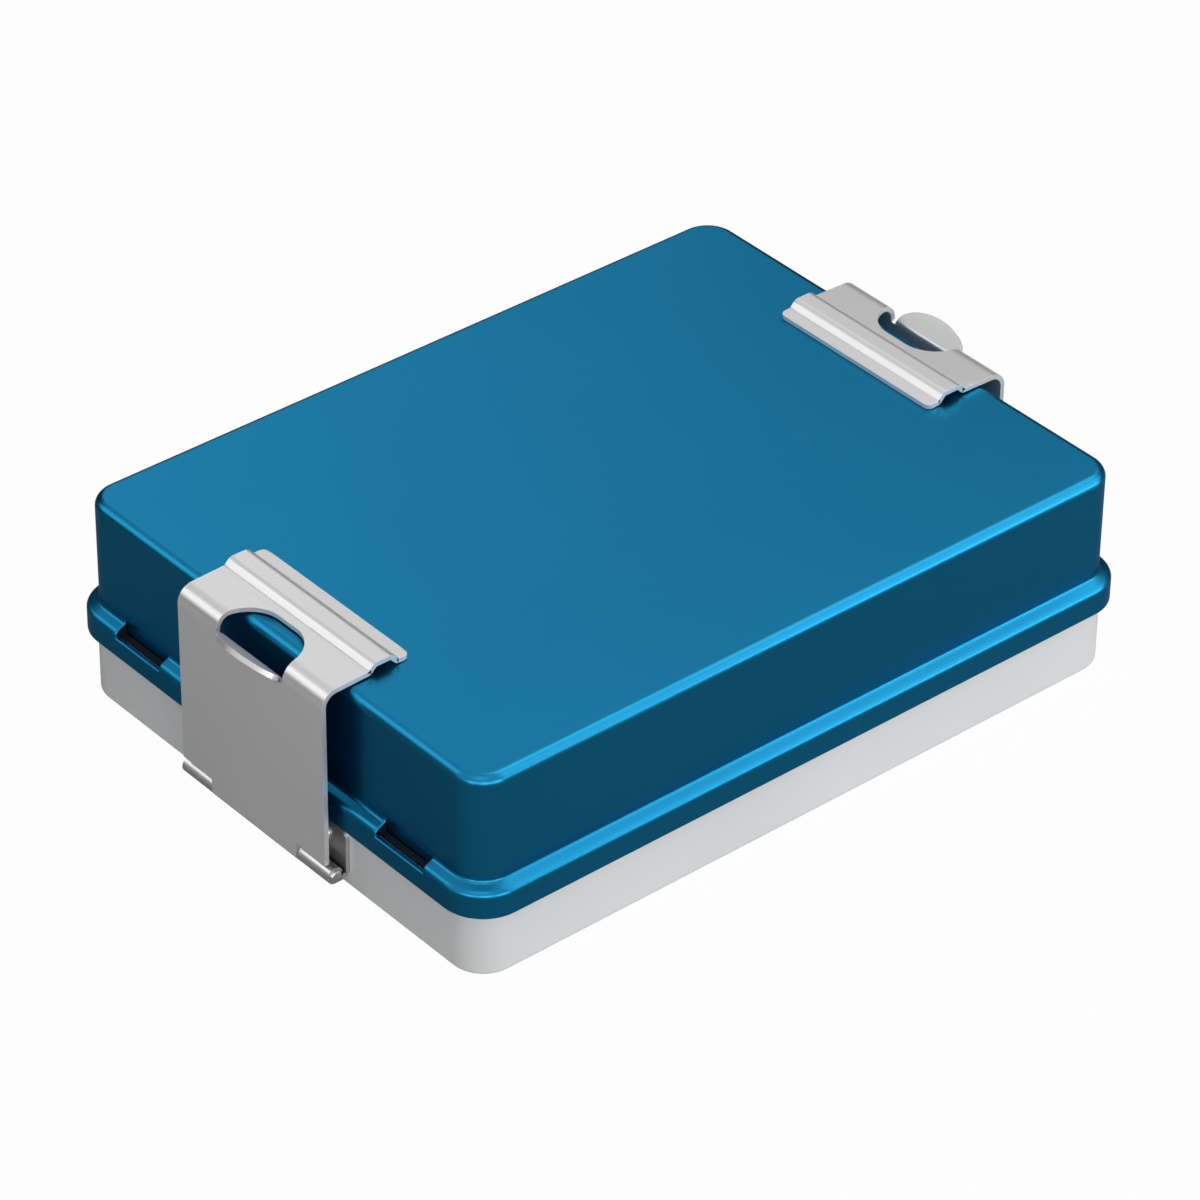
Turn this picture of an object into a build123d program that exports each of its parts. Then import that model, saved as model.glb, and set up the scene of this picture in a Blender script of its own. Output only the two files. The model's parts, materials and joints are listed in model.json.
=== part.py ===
from build123d import *
import os
from math import cos, radians, sin, tan

# Dental instrument cassette: a drawn lid with a flanged rim sits over a shallow base pan and is
# held by a spring clip at each short end. Inside are a steam filter and a perforated tray.
# The origin is at the bottom centre, X runs along the box, Z is up. Millimetres and degrees.

# Lid
lid_length = 190.0
lid_width = 143.0
lid_corner_radius = 8.0
box_height = 53.5
lid_sheet = 1.2
lid_edge_radius = 2.4
rim_reach = 3.0
skirt_bottom = 17.5
shoulder_height = 24.2
shoulder_slope = 23.0
shoulder_radius = 1.8
shoulder_root_radius = 1.1
level_play = 0.01

# Rim slots
slot_length = 16.4
slot_from_side = 23.7
slot_strip_top = 22.6
slot_top = 27.0
slot_pocket = 0.45

# Gasket
gasket_gap = 0.15
gasket_drop = 1.0

# Base pan
base_sheet = 1.2
skirt_gap = 1.2
base_edge_radius = 1.2
floor_margin = 20.5
panel_rise = 2.0
panel_corner_radius = 6.0
base_hole_diameter = 4.0
base_hole_pitch = 9.0
hole_border = 6.0

# Steam filter, its perforated retainer and the two quarter-turn catches
filter_thickness = 0.4
retainer_sheet = 0.8
retainer_overlap = 1.0
retainer_rim_height = 2.0
stud_spacing = 90.0
stud_diameter = 4.0
stud_head_diameter = 7.0
stud_head_height = 0.8
catch_length = 15.0
catch_width = 5.6
catch_height = 2.4
catch_gap = 0.1
stud_fit = 0.05
catch_slot_play = 0.5

# Instrument tray
tray_gap = 2.5
tray_sheet = 0.8
tray_floor_height = 10.0
tray_depth = 16.0
tray_hole_diameter = 5.0
tray_hole_pitch = 10.0
finger_slot_length = 40.0
finger_slot_height = 8.0
finger_slot_rise = 8.6
foot_diameter = 9.0
foot_neck_diameter = 4.0
foot_button_diameter = 7.0
foot_button_height = 1.5
foot_inset = 12.0

# Instrument holders: a folded channel carries a notched silicone strip
holder_spacing = 112.0
holder_length = 118.0
channel_width = 8.0
channel_height = 9.0
channel_sheet = 0.8
strip_height = 15.0
notch_count = 7
notch_pitch = 15.5
notch_width = 7.0
notch_depth = 7.5
holder_rivet_count = 4
holder_rivet_pitch = 32.0
holder_rivet_diameter = 2.4
holder_rivet_head_diameter = 4.4
holder_rivet_head_height = 0.7

# Spring clips
clip_width = 52.0
clip_sheet = 1.2
clip_bend_radius = 3.0
clip_centre_width = 31.0
clip_window_height = 3.3
clip_lid_gap = 0.1
flange_reach = 12.5
flange_rise = 0.4
ridge_start = 14.0
ridge_end = 17.9
ridge_rise = 2.0
foot_reach = 19.6
foot_rise = 0.2
lip_reach = 23.3
lip_corner_radius = 1.6

# Finger hole and thumb tab of a clip
finger_hole_width = 24.0
finger_hole_reach = 9.7
finger_hole_corner = 9.0
finger_hole_drop = 2.4
tab_width = 21.0
tab_length = 5.4
tab_angle = 36.0
relief_width = 1.5
relief_depth = 1.4

# Clip hinges
hinge_height = 4.8
pin_diameter = 1.8
pin_fit = 0.05
pin_head_diameter = 3.0
pin_head_height = 0.7
roll_gap = 0.4
knuckle_gap = 0.3
bracket_sheet = 1.2
bracket_width = 55.0
bracket_top = 16.0
bracket_rivet_spacing = 40.0
bracket_rivet_height = 12.0
bracket_rivet_diameter = 2.4
bracket_rivet_head_diameter = 4.8
bracket_rivet_head_height = 0.9
bracket_rivet_tail_height = 0.6

# Levels and outlines that follow from the sizes above
base_length = lid_length + 2 * (rim_reach - lid_sheet - skirt_gap)
base_width = lid_width + 2 * (rim_reach - lid_sheet - skirt_gap)
base_corner_radius = lid_corner_radius + rim_reach - lid_sheet - skirt_gap
base_height = shoulder_height - lid_sheet - gasket_drop
panel_length = base_length - 2 * (base_sheet + floor_margin)
panel_width = base_width - 2 * (base_sheet + floor_margin)
panel_top = base_sheet + panel_rise
retainer_bottom = panel_top + filter_thickness
catch_bottom = retainer_bottom + retainer_sheet + catch_gap
catch_top = catch_bottom + catch_height
tray_length = lid_length - 2 * (lid_sheet + tray_gap)
tray_width = lid_width - 2 * (lid_sheet + tray_gap)
tray_corner_radius = lid_corner_radius - lid_sheet - tray_gap
tray_floor_top = tray_floor_height + tray_sheet
channel_floor_top = tray_floor_top + channel_sheet
clip_roll_radius = pin_diameter / 2 + pin_fit + clip_sheet
knuckle_radius = pin_diameter / 2 + bracket_sheet
hinge_x = base_length / 2 + bracket_sheet + roll_gap + clip_roll_radius
clip_inner_x = hinge_x + clip_roll_radius - clip_sheet
knuckle_inner_y = clip_centre_width / 2 + knuckle_gap
knuckle_outer_y = bracket_width / 2 - pin_head_height
stud_points = [(-stud_spacing / 2, 0), (stud_spacing / 2, 0)]


def inner_radius(outer, sheet):
    """Radius on the inside of a bend whose outside radius is given."""
    return max(outer - sheet, 0.2)


def block(length, width, radius, bottom, top):
    """Upright block with rounded corners, centred on the origin in plan."""
    with BuildPart() as form:
        with BuildSketch(Plane.XY.offset(bottom)):
            RectangleRounded(length, width, radius)
        extrude(amount=top - bottom)
    return form.part


def level_edges(form, height):
    """Edges of a form that lie at one height."""
    return form.edges().filter_by_position(Axis.Z, height - level_play, height + level_play)


def lid_form(inset):
    """Outside form of the lid, drawn in by the inset on every face but the open bottom."""
    slope = radians(shoulder_slope)
    rim_top = shoulder_height - inset * (1 / cos(slope) - tan(slope))
    wall_foot = rim_top + rim_reach * tan(slope)
    length = lid_length - 2 * inset
    width = lid_width - 2 * inset
    corner = lid_corner_radius - inset
    with BuildPart() as form:
        add(block(length, width, corner, skirt_bottom, box_height - inset))
        fillet(form.faces().sort_by(Axis.Z)[-1].edges(), inner_radius(lid_edge_radius, inset))
        add(block(length + 2 * rim_reach, width + 2 * rim_reach, corner + rim_reach,
                  skirt_bottom, rim_top))
        with BuildSketch(Plane.XY.offset(rim_top)):
            RectangleRounded(length + 2 * rim_reach, width + 2 * rim_reach, corner + rim_reach)
        extrude(amount=wall_foot - rim_top, taper=90 - shoulder_slope)
        fillet(level_edges(form, wall_foot), shoulder_root_radius + inset)
        fillet(level_edges(form, rim_top), inner_radius(shoulder_radius, inset))
    return form.part


def hole_points(length, width, pitch, border, keep_clear, clear_radius):
    """Centres of a square hole pattern that fills a rectangle but spares some round places."""
    columns = int((length - 2 * border) / pitch) + 1
    rows = int((width - 2 * border) / pitch) + 1
    points = []
    for column in range(columns):
        for row in range(rows):
            x = (column - (columns - 1) / 2) * pitch
            y = (row - (rows - 1) / 2) * pitch
            if all(abs(x - cx) > clear_radius or abs(y - cy) > clear_radius for cx, cy in keep_clear):
                points.append((x, y))
    return points


def folded_section(points, radii, thickness, side):
    """Section of a folded sheet in the XZ plane: a line with rounded corners, made thick."""
    with BuildSketch(Plane.XZ) as section:
        with BuildLine():
            FilletPolyline(*points, radius=radii)
            offset(amount=thickness, side=side)
        make_face()
    return section.sketch


def turned(points, *levels):
    """Upright round pieces, one at each point: a cylinder for each (diameter, bottom, top)."""
    with BuildPart() as form:
        for diameter, bottom, top in levels:
            with BuildSketch(Plane.XY.offset(bottom)):
                with Locations(*points):
                    Circle(diameter / 2)
            extrude(amount=top - bottom)
    return form


def rivets(points, head_diameter, head_height, shank_diameter, grip, tail_diameter, tail_height):
    """Rivets along Z through a joint whose upper face is at zero: rounded heads, flat tails."""
    form = turned(points, (tail_diameter, -grip - tail_height, -grip),
                  (shank_diameter, -grip, 0), (head_diameter, 0, head_height))
    with form:
        fillet(form.faces().group_by(Axis.Z)[-1].edges(), head_height * 0.8)
    return form.part


# ---- Lid shell: one drawn sheet, open below, with two pocketed slots in each end's shoulder
slot_inner_x = lid_length / 2 - slot_pocket
slot_y = lid_width / 2 - slot_from_side
slot_points = [(side * (slot_inner_x + rim_reach), y) for side in (-1, 1) for y in (-slot_y, slot_y)]
tongue_points = [(side * (slot_inner_x - lid_sheet / 2), y) for side in (-1, 1) for y in (-slot_y, slot_y)]
with BuildPart() as lid_shell:
    add(lid_form(0))
    add(lid_form(lid_sheet), mode=Mode.SUBTRACT)
    with BuildSketch(Plane.XY.offset(slot_strip_top)):
        with Locations(*slot_points):
            Rectangle(2 * rim_reach, slot_length)
    extrude(amount=slot_top - slot_strip_top, mode=Mode.SUBTRACT)
    with BuildSketch(Plane.XY.offset(slot_strip_top)):
        with Locations(*tongue_points):
            Rectangle(lid_sheet, slot_length)
    extrude(amount=slot_top - slot_strip_top)
lid_shell.part.label = "lid_shell"

# ---- Lid gasket: a silicone ring under the shoulder that the base's edge presses on
gasket_reach = rim_reach - lid_sheet - inner_radius(shoulder_radius, lid_sheet)
gasket_inner_reach = gasket_gap - slot_pocket
with BuildPart() as lid_gasket:
    with BuildSketch(Plane.XY.offset(base_height)):
        RectangleRounded(lid_length + 2 * gasket_reach, lid_width + 2 * gasket_reach,
                         lid_corner_radius + gasket_reach)
        RectangleRounded(lid_length + 2 * gasket_inner_reach, lid_width + 2 * gasket_inner_reach,
                         lid_corner_radius + gasket_inner_reach, mode=Mode.SUBTRACT)
    extrude(amount=shoulder_height + rim_reach - base_height)
    add(lid_form(lid_sheet), mode=Mode.INTERSECT)
    with BuildSketch(Plane.XY.offset(slot_strip_top)):
        with Locations(*slot_points):
            Rectangle(2 * rim_reach, slot_length)
    extrude(amount=slot_top - slot_strip_top, mode=Mode.SUBTRACT)
lid_gasket.part.label = "lid_gasket"


def base_form(inset):
    """Outside form of the base pan, or its inside where the inset is the sheet."""
    with BuildPart() as form:
        add(block(base_length - 2 * inset, base_width - 2 * inset, base_corner_radius - inset,
                  inset, base_height))
        fillet(form.faces().sort_by(Axis.Z)[0].edges(), inner_radius(base_edge_radius, inset))
        add(block(panel_length + 2 * inset, panel_width + 2 * inset, panel_corner_radius + inset,
                  0, panel_rise + inset), mode=Mode.SUBTRACT)
    return form.part


# ---- Base pan: drawn pan with a raised, perforated floor panel
panel_holes = hole_points(panel_length, panel_width, base_hole_pitch, hole_border,
                          stud_points, base_hole_pitch)
with BuildPart() as base_pan:
    add(base_form(0))
    add(base_form(base_sheet), mode=Mode.SUBTRACT)
    with BuildSketch(Plane.XY.offset(panel_rise)):
        with Locations(*panel_holes):
            Circle(base_hole_diameter / 2)
        with Locations(*stud_points):
            Circle(stud_diameter / 2)
    extrude(amount=base_sheet, mode=Mode.SUBTRACT)
    end_wall = Plane.YZ.offset(-base_length)
    with BuildSketch(end_wall):
        with Locations((-bracket_rivet_spacing / 2, bracket_rivet_height),
                       (bracket_rivet_spacing / 2, bracket_rivet_height)):
            Circle(bracket_rivet_diameter / 2)
    extrude(amount=2 * base_length, mode=Mode.SUBTRACT)
base_pan.part.label = "base_pan"

# ---- Steam filter: a sheet that covers the perforated panel
with BuildPart() as filter_sheet:
    with BuildSketch(Plane.XY.offset(panel_top)):
        RectangleRounded(panel_length, panel_width, panel_corner_radius)
        with Locations(*stud_points):
            Circle(stud_diameter / 2 + stud_fit, mode=Mode.SUBTRACT)
    extrude(amount=filter_thickness)
filter_sheet.part.label = "filter_sheet"

# ---- Filter retainer: a perforated plate with a turned-up rim and a slot over each stud
retainer_length = panel_length + 2 * retainer_overlap
retainer_width = panel_width + 2 * retainer_overlap
retainer_radius = panel_corner_radius + retainer_overlap
with BuildPart() as filter_retainer:
    add(block(retainer_length, retainer_width, retainer_radius, retainer_bottom,
              retainer_bottom + retainer_sheet + retainer_rim_height))
    fillet(filter_retainer.faces().sort_by(Axis.Z)[0].edges(), retainer_sheet)
    add(block(retainer_length - 2 * retainer_sheet, retainer_width - 2 * retainer_sheet,
              retainer_radius - retainer_sheet, retainer_bottom + retainer_sheet,
              retainer_bottom + retainer_sheet + retainer_rim_height), mode=Mode.SUBTRACT)
    with BuildSketch(Plane.XY.offset(retainer_bottom)):
        with Locations(*panel_holes):
            Circle(base_hole_diameter / 2)
        with Locations(*stud_points):
            SlotOverall(catch_length + 2 * catch_slot_play, catch_width + 2 * catch_slot_play,
                        rotation=90)
    extrude(amount=retainer_sheet, mode=Mode.SUBTRACT)
filter_retainer.part.label = "filter_retainer"

# ---- Retainer studs: riveted in the floor panel, with a head above each catch
retainer_studs = turned(
    stud_points,
    (stud_head_diameter, panel_rise - stud_head_height, panel_rise),
    (stud_diameter, panel_rise, catch_top + catch_gap),
    (stud_head_diameter, catch_top + catch_gap, catch_top + catch_gap + stud_head_height))
retainer_studs.part.label = "retainer_studs"


def retainer_catch(centre_x):
    """Quarter-turn catch: a round-ended bar with a hub that turns on its stud."""
    with BuildPart() as form:
        with BuildSketch(Plane.XY.offset(catch_bottom)):
            with Locations((centre_x, 0)):
                SlotOverall(catch_length, catch_width)
        extrude(amount=catch_height)
        fillet(form.faces().sort_by(Axis.Z)[-1].edges(), catch_height / 4)
        with BuildSketch(Plane.XY.offset(catch_bottom)):
            with Locations((centre_x, 0)):
                Circle(stud_diameter / 2 + stud_fit)
        extrude(amount=catch_height, mode=Mode.SUBTRACT)
    return form


catch_left = retainer_catch(-stud_spacing / 2)
catch_left.part.label = "catch_left"
catch_right = retainer_catch(stud_spacing / 2)
catch_right.part.label = "catch_right"

# ---- Instrument tray: perforated tray on four feet, with a finger slot in each end wall
foot_x = tray_length / 2 - foot_inset
foot_y = tray_width / 2 - foot_inset
foot_points = [(x, y) for x in (-foot_x, foot_x) for y in (-foot_y, foot_y)]
rivet_ys = [(i - (holder_rivet_count - 1) / 2) * holder_rivet_pitch for i in range(holder_rivet_count)]
rivet_points = [(x, y) for x in (-holder_spacing / 2, holder_spacing / 2) for y in rivet_ys]
channel_places = [(x, y) for x in (-holder_spacing / 2, holder_spacing / 2) for y in
                  [step * channel_width for step in range(-int(holder_length), int(holder_length))]]
tray_hole_clear = (channel_width + tray_hole_diameter) / 2
tray_holes = hole_points(tray_length, tray_width, tray_hole_pitch, tray_hole_pitch,
                         channel_places + foot_points, tray_hole_clear)
with BuildPart() as instrument_tray:
    add(block(tray_length, tray_width, tray_corner_radius, tray_floor_height,
              tray_floor_height + tray_depth))
    fillet(instrument_tray.faces().sort_by(Axis.Z)[0].edges(), 2 * tray_sheet)
    add(block(tray_length - 2 * tray_sheet, tray_width - 2 * tray_sheet,
              tray_corner_radius - tray_sheet, tray_floor_top, tray_floor_height + tray_depth),
        mode=Mode.SUBTRACT)
    with BuildSketch(Plane.XY.offset(tray_floor_height)):
        with Locations(*tray_holes):
            Circle(tray_hole_diameter / 2)
        with Locations(*rivet_points):
            Circle(holder_rivet_diameter / 2)
        with Locations(*foot_points):
            Circle(foot_neck_diameter / 2)
    extrude(amount=tray_sheet, mode=Mode.SUBTRACT)
    with BuildSketch(Plane.YZ.offset(-tray_length)):
        with Locations((0, tray_floor_height + finger_slot_rise)):
            SlotOverall(finger_slot_length, finger_slot_height)
    extrude(amount=2 * tray_length, mode=Mode.SUBTRACT)
instrument_tray.part.label = "instrument_tray"

# ---- Tray feet: silicone grommets with a button above the tray floor
tray_feet = turned(
    foot_points,
    (foot_diameter, base_sheet, tray_floor_height),
    (foot_neck_diameter, tray_floor_height, tray_floor_top),
    (foot_button_diameter, tray_floor_top, tray_floor_top + foot_button_height))
tray_feet.part.label = "tray_feet"


def holder_channel(centre_x):
    """Folded channel along Y, open above, with holes for its rivets."""
    with BuildPart() as form:
        with BuildSketch(Plane.XY.offset(tray_floor_top)):
            with Locations((centre_x, 0)):
                Rectangle(channel_width, holder_length)
        extrude(amount=channel_height)
        fillet(form.faces().sort_by(Axis.Z)[0].edges().filter_by(Axis.Y), channel_sheet)
        with BuildSketch(Plane.XY.offset(channel_floor_top)):
            with Locations((centre_x, 0)):
                Rectangle(channel_width - 2 * channel_sheet, holder_length)
        extrude(amount=channel_height, mode=Mode.SUBTRACT)
        with BuildSketch(Plane.XY.offset(tray_floor_top)):
            with Locations(*[(centre_x, y) for y in rivet_ys]):
                Circle(holder_rivet_diameter / 2)
        extrude(amount=channel_sheet, mode=Mode.SUBTRACT)
    return form


def holder_strip(centre_x):
    """Silicone strip that stands in the channel, with a row of round-bottomed notches."""
    strip_bottom = channel_floor_top + holder_rivet_head_height
    strip_top = strip_bottom + strip_height
    with BuildPart() as form:
        with BuildSketch(Plane.XY.offset(strip_bottom)):
            with Locations((centre_x, 0)):
                Rectangle(channel_width - 2 * channel_sheet, holder_length)
        extrude(amount=strip_height)
        with BuildSketch(Plane.YZ.offset(centre_x - channel_width)):
            for i in range(notch_count):
                notch_y = (i - (notch_count - 1) / 2) * notch_pitch
                with Locations((notch_y, strip_top - notch_depth + notch_width / 2)):
                    Circle(notch_width / 2)
                with Locations((notch_y, strip_top)):
                    Rectangle(notch_width, 2 * notch_depth - notch_width)
        extrude(amount=2 * channel_width, mode=Mode.SUBTRACT)
    return form


def holder_rivets(centre_x):
    """Rivets that hold one channel to the tray floor."""
    with BuildPart() as form:
        with Locations((centre_x, 0, channel_floor_top)):
            add(rivets([(0, y) for y in rivet_ys], holder_rivet_head_diameter,
                       holder_rivet_head_height, holder_rivet_diameter, tray_sheet + channel_sheet,
                       holder_rivet_head_diameter, holder_rivet_head_height))
    return form


# ---- Instrument holders, one at each end of the tray
holder_channel_left = holder_channel(-holder_spacing / 2)
holder_channel_left.part.label = "holder_channel_left"
holder_channel_right = holder_channel(holder_spacing / 2)
holder_channel_right.part.label = "holder_channel_right"
holder_strip_left = holder_strip(-holder_spacing / 2)
holder_strip_left.part.label = "holder_strip_left"
holder_strip_right = holder_strip(holder_spacing / 2)
holder_strip_right.part.label = "holder_strip_right"
holder_rivets_left = holder_rivets(-holder_spacing / 2)
holder_rivets_left.part.label = "holder_rivets_left"
holder_rivets_right = holder_rivets(holder_spacing / 2)
holder_rivets_right.part.label = "holder_rivets_right"

# ---- Hinge bracket of the right end: a plate on the wall, with two rolled knuckles
hinge_axis = Plane(origin=(hinge_x, 0, hinge_height), x_dir=(1, 0, 0), z_dir=(0, 1, 0))
bracket_x = base_length / 2
knuckle_bottom = hinge_height - knuckle_radius
with BuildPart() as hinge_bracket_right:
    wall_line = ((bracket_x, bracket_top), (bracket_x, knuckle_bottom), (hinge_x, knuckle_bottom))
    extrude(folded_section(wall_line, (1.5 * bracket_sheet,), bracket_sheet, Side.LEFT),
            amount=bracket_width / 2, both=True)
    with BuildSketch(hinge_axis):
        Circle(knuckle_radius)
    extrude(amount=knuckle_outer_y, both=True)
    with BuildSketch(hinge_axis):
        Circle(pin_diameter / 2)
    extrude(amount=bracket_width, both=True, mode=Mode.SUBTRACT)
    reach = hinge_x - bracket_x + knuckle_radius
    with BuildSketch(Plane.XZ):
        with Locations((bracket_x + reach / 2, hinge_height)):
            Rectangle(reach, 2 * (clip_roll_radius + knuckle_gap))
    extrude(amount=knuckle_inner_y, both=True, mode=Mode.SUBTRACT)
    for side in (-1, 1):
        with BuildSketch(Plane.XZ.offset(-side * knuckle_outer_y)):
            with Locations((bracket_x + bracket_sheet + reach / 2, hinge_height)):
                Rectangle(reach, 2 * (clip_roll_radius + knuckle_gap))
        extrude(amount=-side * bracket_width, mode=Mode.SUBTRACT)
    with BuildSketch(Plane.YZ.offset(bracket_x)):
        with Locations((-bracket_rivet_spacing / 2, bracket_rivet_height),
                       (bracket_rivet_spacing / 2, bracket_rivet_height)):
            Circle(bracket_rivet_diameter / 2)
    extrude(amount=bracket_sheet, mode=Mode.SUBTRACT)
hinge_bracket_right.part.label = "hinge_bracket_right"

# ---- Bracket rivets of the right end
rivet_place = Location((bracket_x + bracket_sheet, 0, bracket_rivet_height), (0, 90, 0))
with BuildPart() as bracket_rivets_right:
    with Locations(rivet_place):
        add(rivets([(0, -bracket_rivet_spacing / 2), (0, bracket_rivet_spacing / 2)],
                   bracket_rivet_head_diameter, bracket_rivet_head_height, bracket_rivet_diameter,
                   bracket_sheet + base_sheet, bracket_rivet_head_diameter,
                   bracket_rivet_tail_height))
bracket_rivets_right.part.label = "bracket_rivets_right"

# ---- Hinge pin of the right end, with a rounded head at both ends
with BuildPart() as hinge_pin_right:
    with BuildSketch(hinge_axis):
        Circle(pin_diameter / 2)
    extrude(amount=knuckle_outer_y, both=True)
    for side in (-1, 1):
        with BuildSketch(hinge_axis.offset(side * knuckle_outer_y)):
            Circle(pin_head_diameter / 2)
        extrude(amount=side * pin_head_height)
    fillet(hinge_pin_right.faces().sort_by(Axis.Y)[0].edges(), pin_head_height * 0.8)
    fillet(hinge_pin_right.faces().sort_by(Axis.Y)[-1].edges(), pin_head_height * 0.8)
hinge_pin_right.part.label = "hinge_pin_right"

# ---- Thumb tab of a clip: bent out of the finger hole, round-ended
hole_edge = box_height - finger_hole_drop
tab_tilt = radians(tab_angle)
tab_corner = (clip_inner_x + clip_sheet, hole_edge - clip_sheet)
tab_end = (tab_corner[0] + 2 * tab_length * cos(tab_tilt), tab_corner[1] + 2 * tab_length * sin(tab_tilt))
tab_line = ((tab_corner[0], tab_corner[1] - tab_length), tab_corner, tab_end)
tab_plane = Plane(origin=(clip_inner_x + clip_sheet / 2, 0, hole_edge), x_dir=(0, 1, 0),
                  z_dir=(-sin(tab_tilt), 0, cos(tab_tilt)))
with BuildPart() as thumb_tab:
    extrude(folded_section(tab_line, (clip_sheet,), clip_sheet, Side.LEFT),
            amount=tab_width / 2, both=True)
    with BuildSketch(tab_plane):
        Ellipse(tab_width / 2, tab_length)
    extrude(amount=tab_length, both=True, mode=Mode.INTERSECT)

# ---- Spring clip of the right end: rolled round its pin, up the wall and over the lid's edge
rest_z = box_height + clip_lid_gap
clip_line = (
    (clip_inner_x, hinge_height),
    (clip_inner_x, rest_z),
    (clip_inner_x - flange_reach, rest_z + flange_rise),
    (clip_inner_x - ridge_start, rest_z + ridge_rise),
    (clip_inner_x - ridge_end, rest_z + ridge_rise),
    (clip_inner_x - foot_reach, rest_z + foot_rise),
    (clip_inner_x - lip_reach, rest_z),
)
ridge_foot_radius = 1.5 * clip_sheet
ridge_top_radius = 0.8 * clip_sheet
clip_radii = (clip_bend_radius, ridge_foot_radius, ridge_top_radius, ridge_top_radius,
              ridge_foot_radius)
with BuildPart() as clip_right:
    extrude(folded_section(clip_line, clip_radii, clip_sheet, Side.RIGHT),
            amount=clip_width / 2, both=True)
    with BuildSketch(hinge_axis):
        Circle(clip_roll_radius)
    extrude(amount=clip_centre_width / 2, both=True)
    with BuildSketch(hinge_axis):
        Circle(pin_diameter / 2 + pin_fit)
    extrude(amount=clip_width, both=True, mode=Mode.SUBTRACT)
    window_width = (clip_width - clip_centre_width) / 2
    with BuildSketch(Plane.YZ.offset(clip_inner_x - clip_sheet)):
        with Locations(*[(side * (clip_width - window_width) / 2, hinge_height) for side in (-1, 1)]):
            Rectangle(window_width, 2 * clip_window_height)
    extrude(amount=3 * clip_sheet, mode=Mode.SUBTRACT)
    with BuildSketch(Plane.XY.offset(hole_edge)):
        with Locations((clip_inner_x + 3 * clip_sheet, 0)):
            RectangleRounded(2 * (finger_hole_reach + 3 * clip_sheet), finger_hole_width,
                             finger_hole_corner)
    extrude(amount=box_height, mode=Mode.SUBTRACT)
    add(thumb_tab.part)
    with BuildSketch(Plane.YZ.offset(clip_inner_x - clip_sheet)):
        with Locations(*[(side * (finger_hole_width - relief_width) / 2, hole_edge) for side in (-1, 1)]):
            SlotOverall(2 * relief_depth, relief_width, rotation=90)
    extrude(amount=3 * clip_sheet, mode=Mode.SUBTRACT)
    with BuildSketch(Plane.XY):
        with BuildLine():
            lip_x = clip_inner_x - lip_reach
            far_x = clip_inner_x + box_height
            FilletPolyline((far_x, clip_width / 2), (lip_x, clip_width / 2),
                           (lip_x, -clip_width / 2), (far_x, -clip_width / 2),
                           radius=lip_corner_radius)
            Line((far_x, -clip_width / 2), (far_x, clip_width / 2))
        make_face()
    extrude(amount=2 * box_height, mode=Mode.INTERSECT)
clip_right.part.label = "clip_right"


def left_copy(right_piece, name):
    """The piece of the left end: the right one mirrored across the box."""
    with BuildPart() as form:
        mirror(right_piece.part, about=Plane.YZ)
    form.part.label = name
    return form


hinge_bracket_left = left_copy(hinge_bracket_right, "hinge_bracket_left")
bracket_rivets_left = left_copy(bracket_rivets_right, "bracket_rivets_left")
hinge_pin_left = left_copy(hinge_pin_right, "hinge_pin_left")
clip_left = left_copy(clip_right, "clip_left")

# ---- Write every piece to its own file
os.makedirs("parts", exist_ok=True)
for piece in (lid_shell, lid_gasket, base_pan, filter_sheet, filter_retainer, retainer_studs,
              catch_left, catch_right, instrument_tray, tray_feet,
              holder_channel_left, holder_channel_right, holder_strip_left, holder_strip_right,
              holder_rivets_left, holder_rivets_right, hinge_bracket_left, hinge_bracket_right,
              bracket_rivets_left, bracket_rivets_right, hinge_pin_left, hinge_pin_right,
              clip_left, clip_right):
    export_step(piece.part, f"parts/{piece.part.label}.step")
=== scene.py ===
"""Looks of a dental instrument cassette: drawn lid, base pan, spring clips, hinges and the tray inside.

Sizes are in millimetres in the cassette's own frame: the origin is at the bottom centre, X runs along
the box and Z is up. Meshes are written in metres.
"""
import json
import logging
import math
from dataclasses import dataclass, field
from enum import Enum
from functools import cache

import bmesh
import bpy
import numpy as np
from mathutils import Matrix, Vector


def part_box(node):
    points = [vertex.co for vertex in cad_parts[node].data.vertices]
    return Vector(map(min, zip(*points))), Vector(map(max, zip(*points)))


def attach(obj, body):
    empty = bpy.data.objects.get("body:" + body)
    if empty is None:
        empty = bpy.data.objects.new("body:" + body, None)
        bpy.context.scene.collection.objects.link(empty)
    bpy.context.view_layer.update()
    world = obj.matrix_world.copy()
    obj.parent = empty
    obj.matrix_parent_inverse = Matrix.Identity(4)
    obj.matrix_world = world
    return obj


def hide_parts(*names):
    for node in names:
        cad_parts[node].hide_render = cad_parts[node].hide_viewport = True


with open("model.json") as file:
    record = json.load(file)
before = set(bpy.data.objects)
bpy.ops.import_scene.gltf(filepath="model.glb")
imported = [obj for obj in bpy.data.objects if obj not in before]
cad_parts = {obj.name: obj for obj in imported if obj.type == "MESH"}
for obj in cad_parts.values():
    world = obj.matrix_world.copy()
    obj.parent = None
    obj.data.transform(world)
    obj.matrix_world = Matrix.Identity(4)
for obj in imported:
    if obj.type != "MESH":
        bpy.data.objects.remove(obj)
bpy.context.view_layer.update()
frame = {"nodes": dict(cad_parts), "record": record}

MM = 0.001
WELD = 0.002
"""Points nearer than this, in millimetres, are merged."""
ALMOST = 1e-6
"""Room for rounding where places are compared."""
LOG = logging.getLogger("cassette")


class End(Enum):
    """The two short ends of the box, as the sign of X."""

    LEFT = -1
    RIGHT = 1

    @property
    def label(self) -> str:
        """The end's name as node names hold it."""
        return self.name.lower()


def show(piece: bpy.types.Object) -> bpy.types.Object:
    """Puts a new object into the scene and returns it."""
    bpy.context.scene.collection.objects.link(piece)
    return piece


# ---------------------------------------------------------------- shapes as arrays


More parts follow.
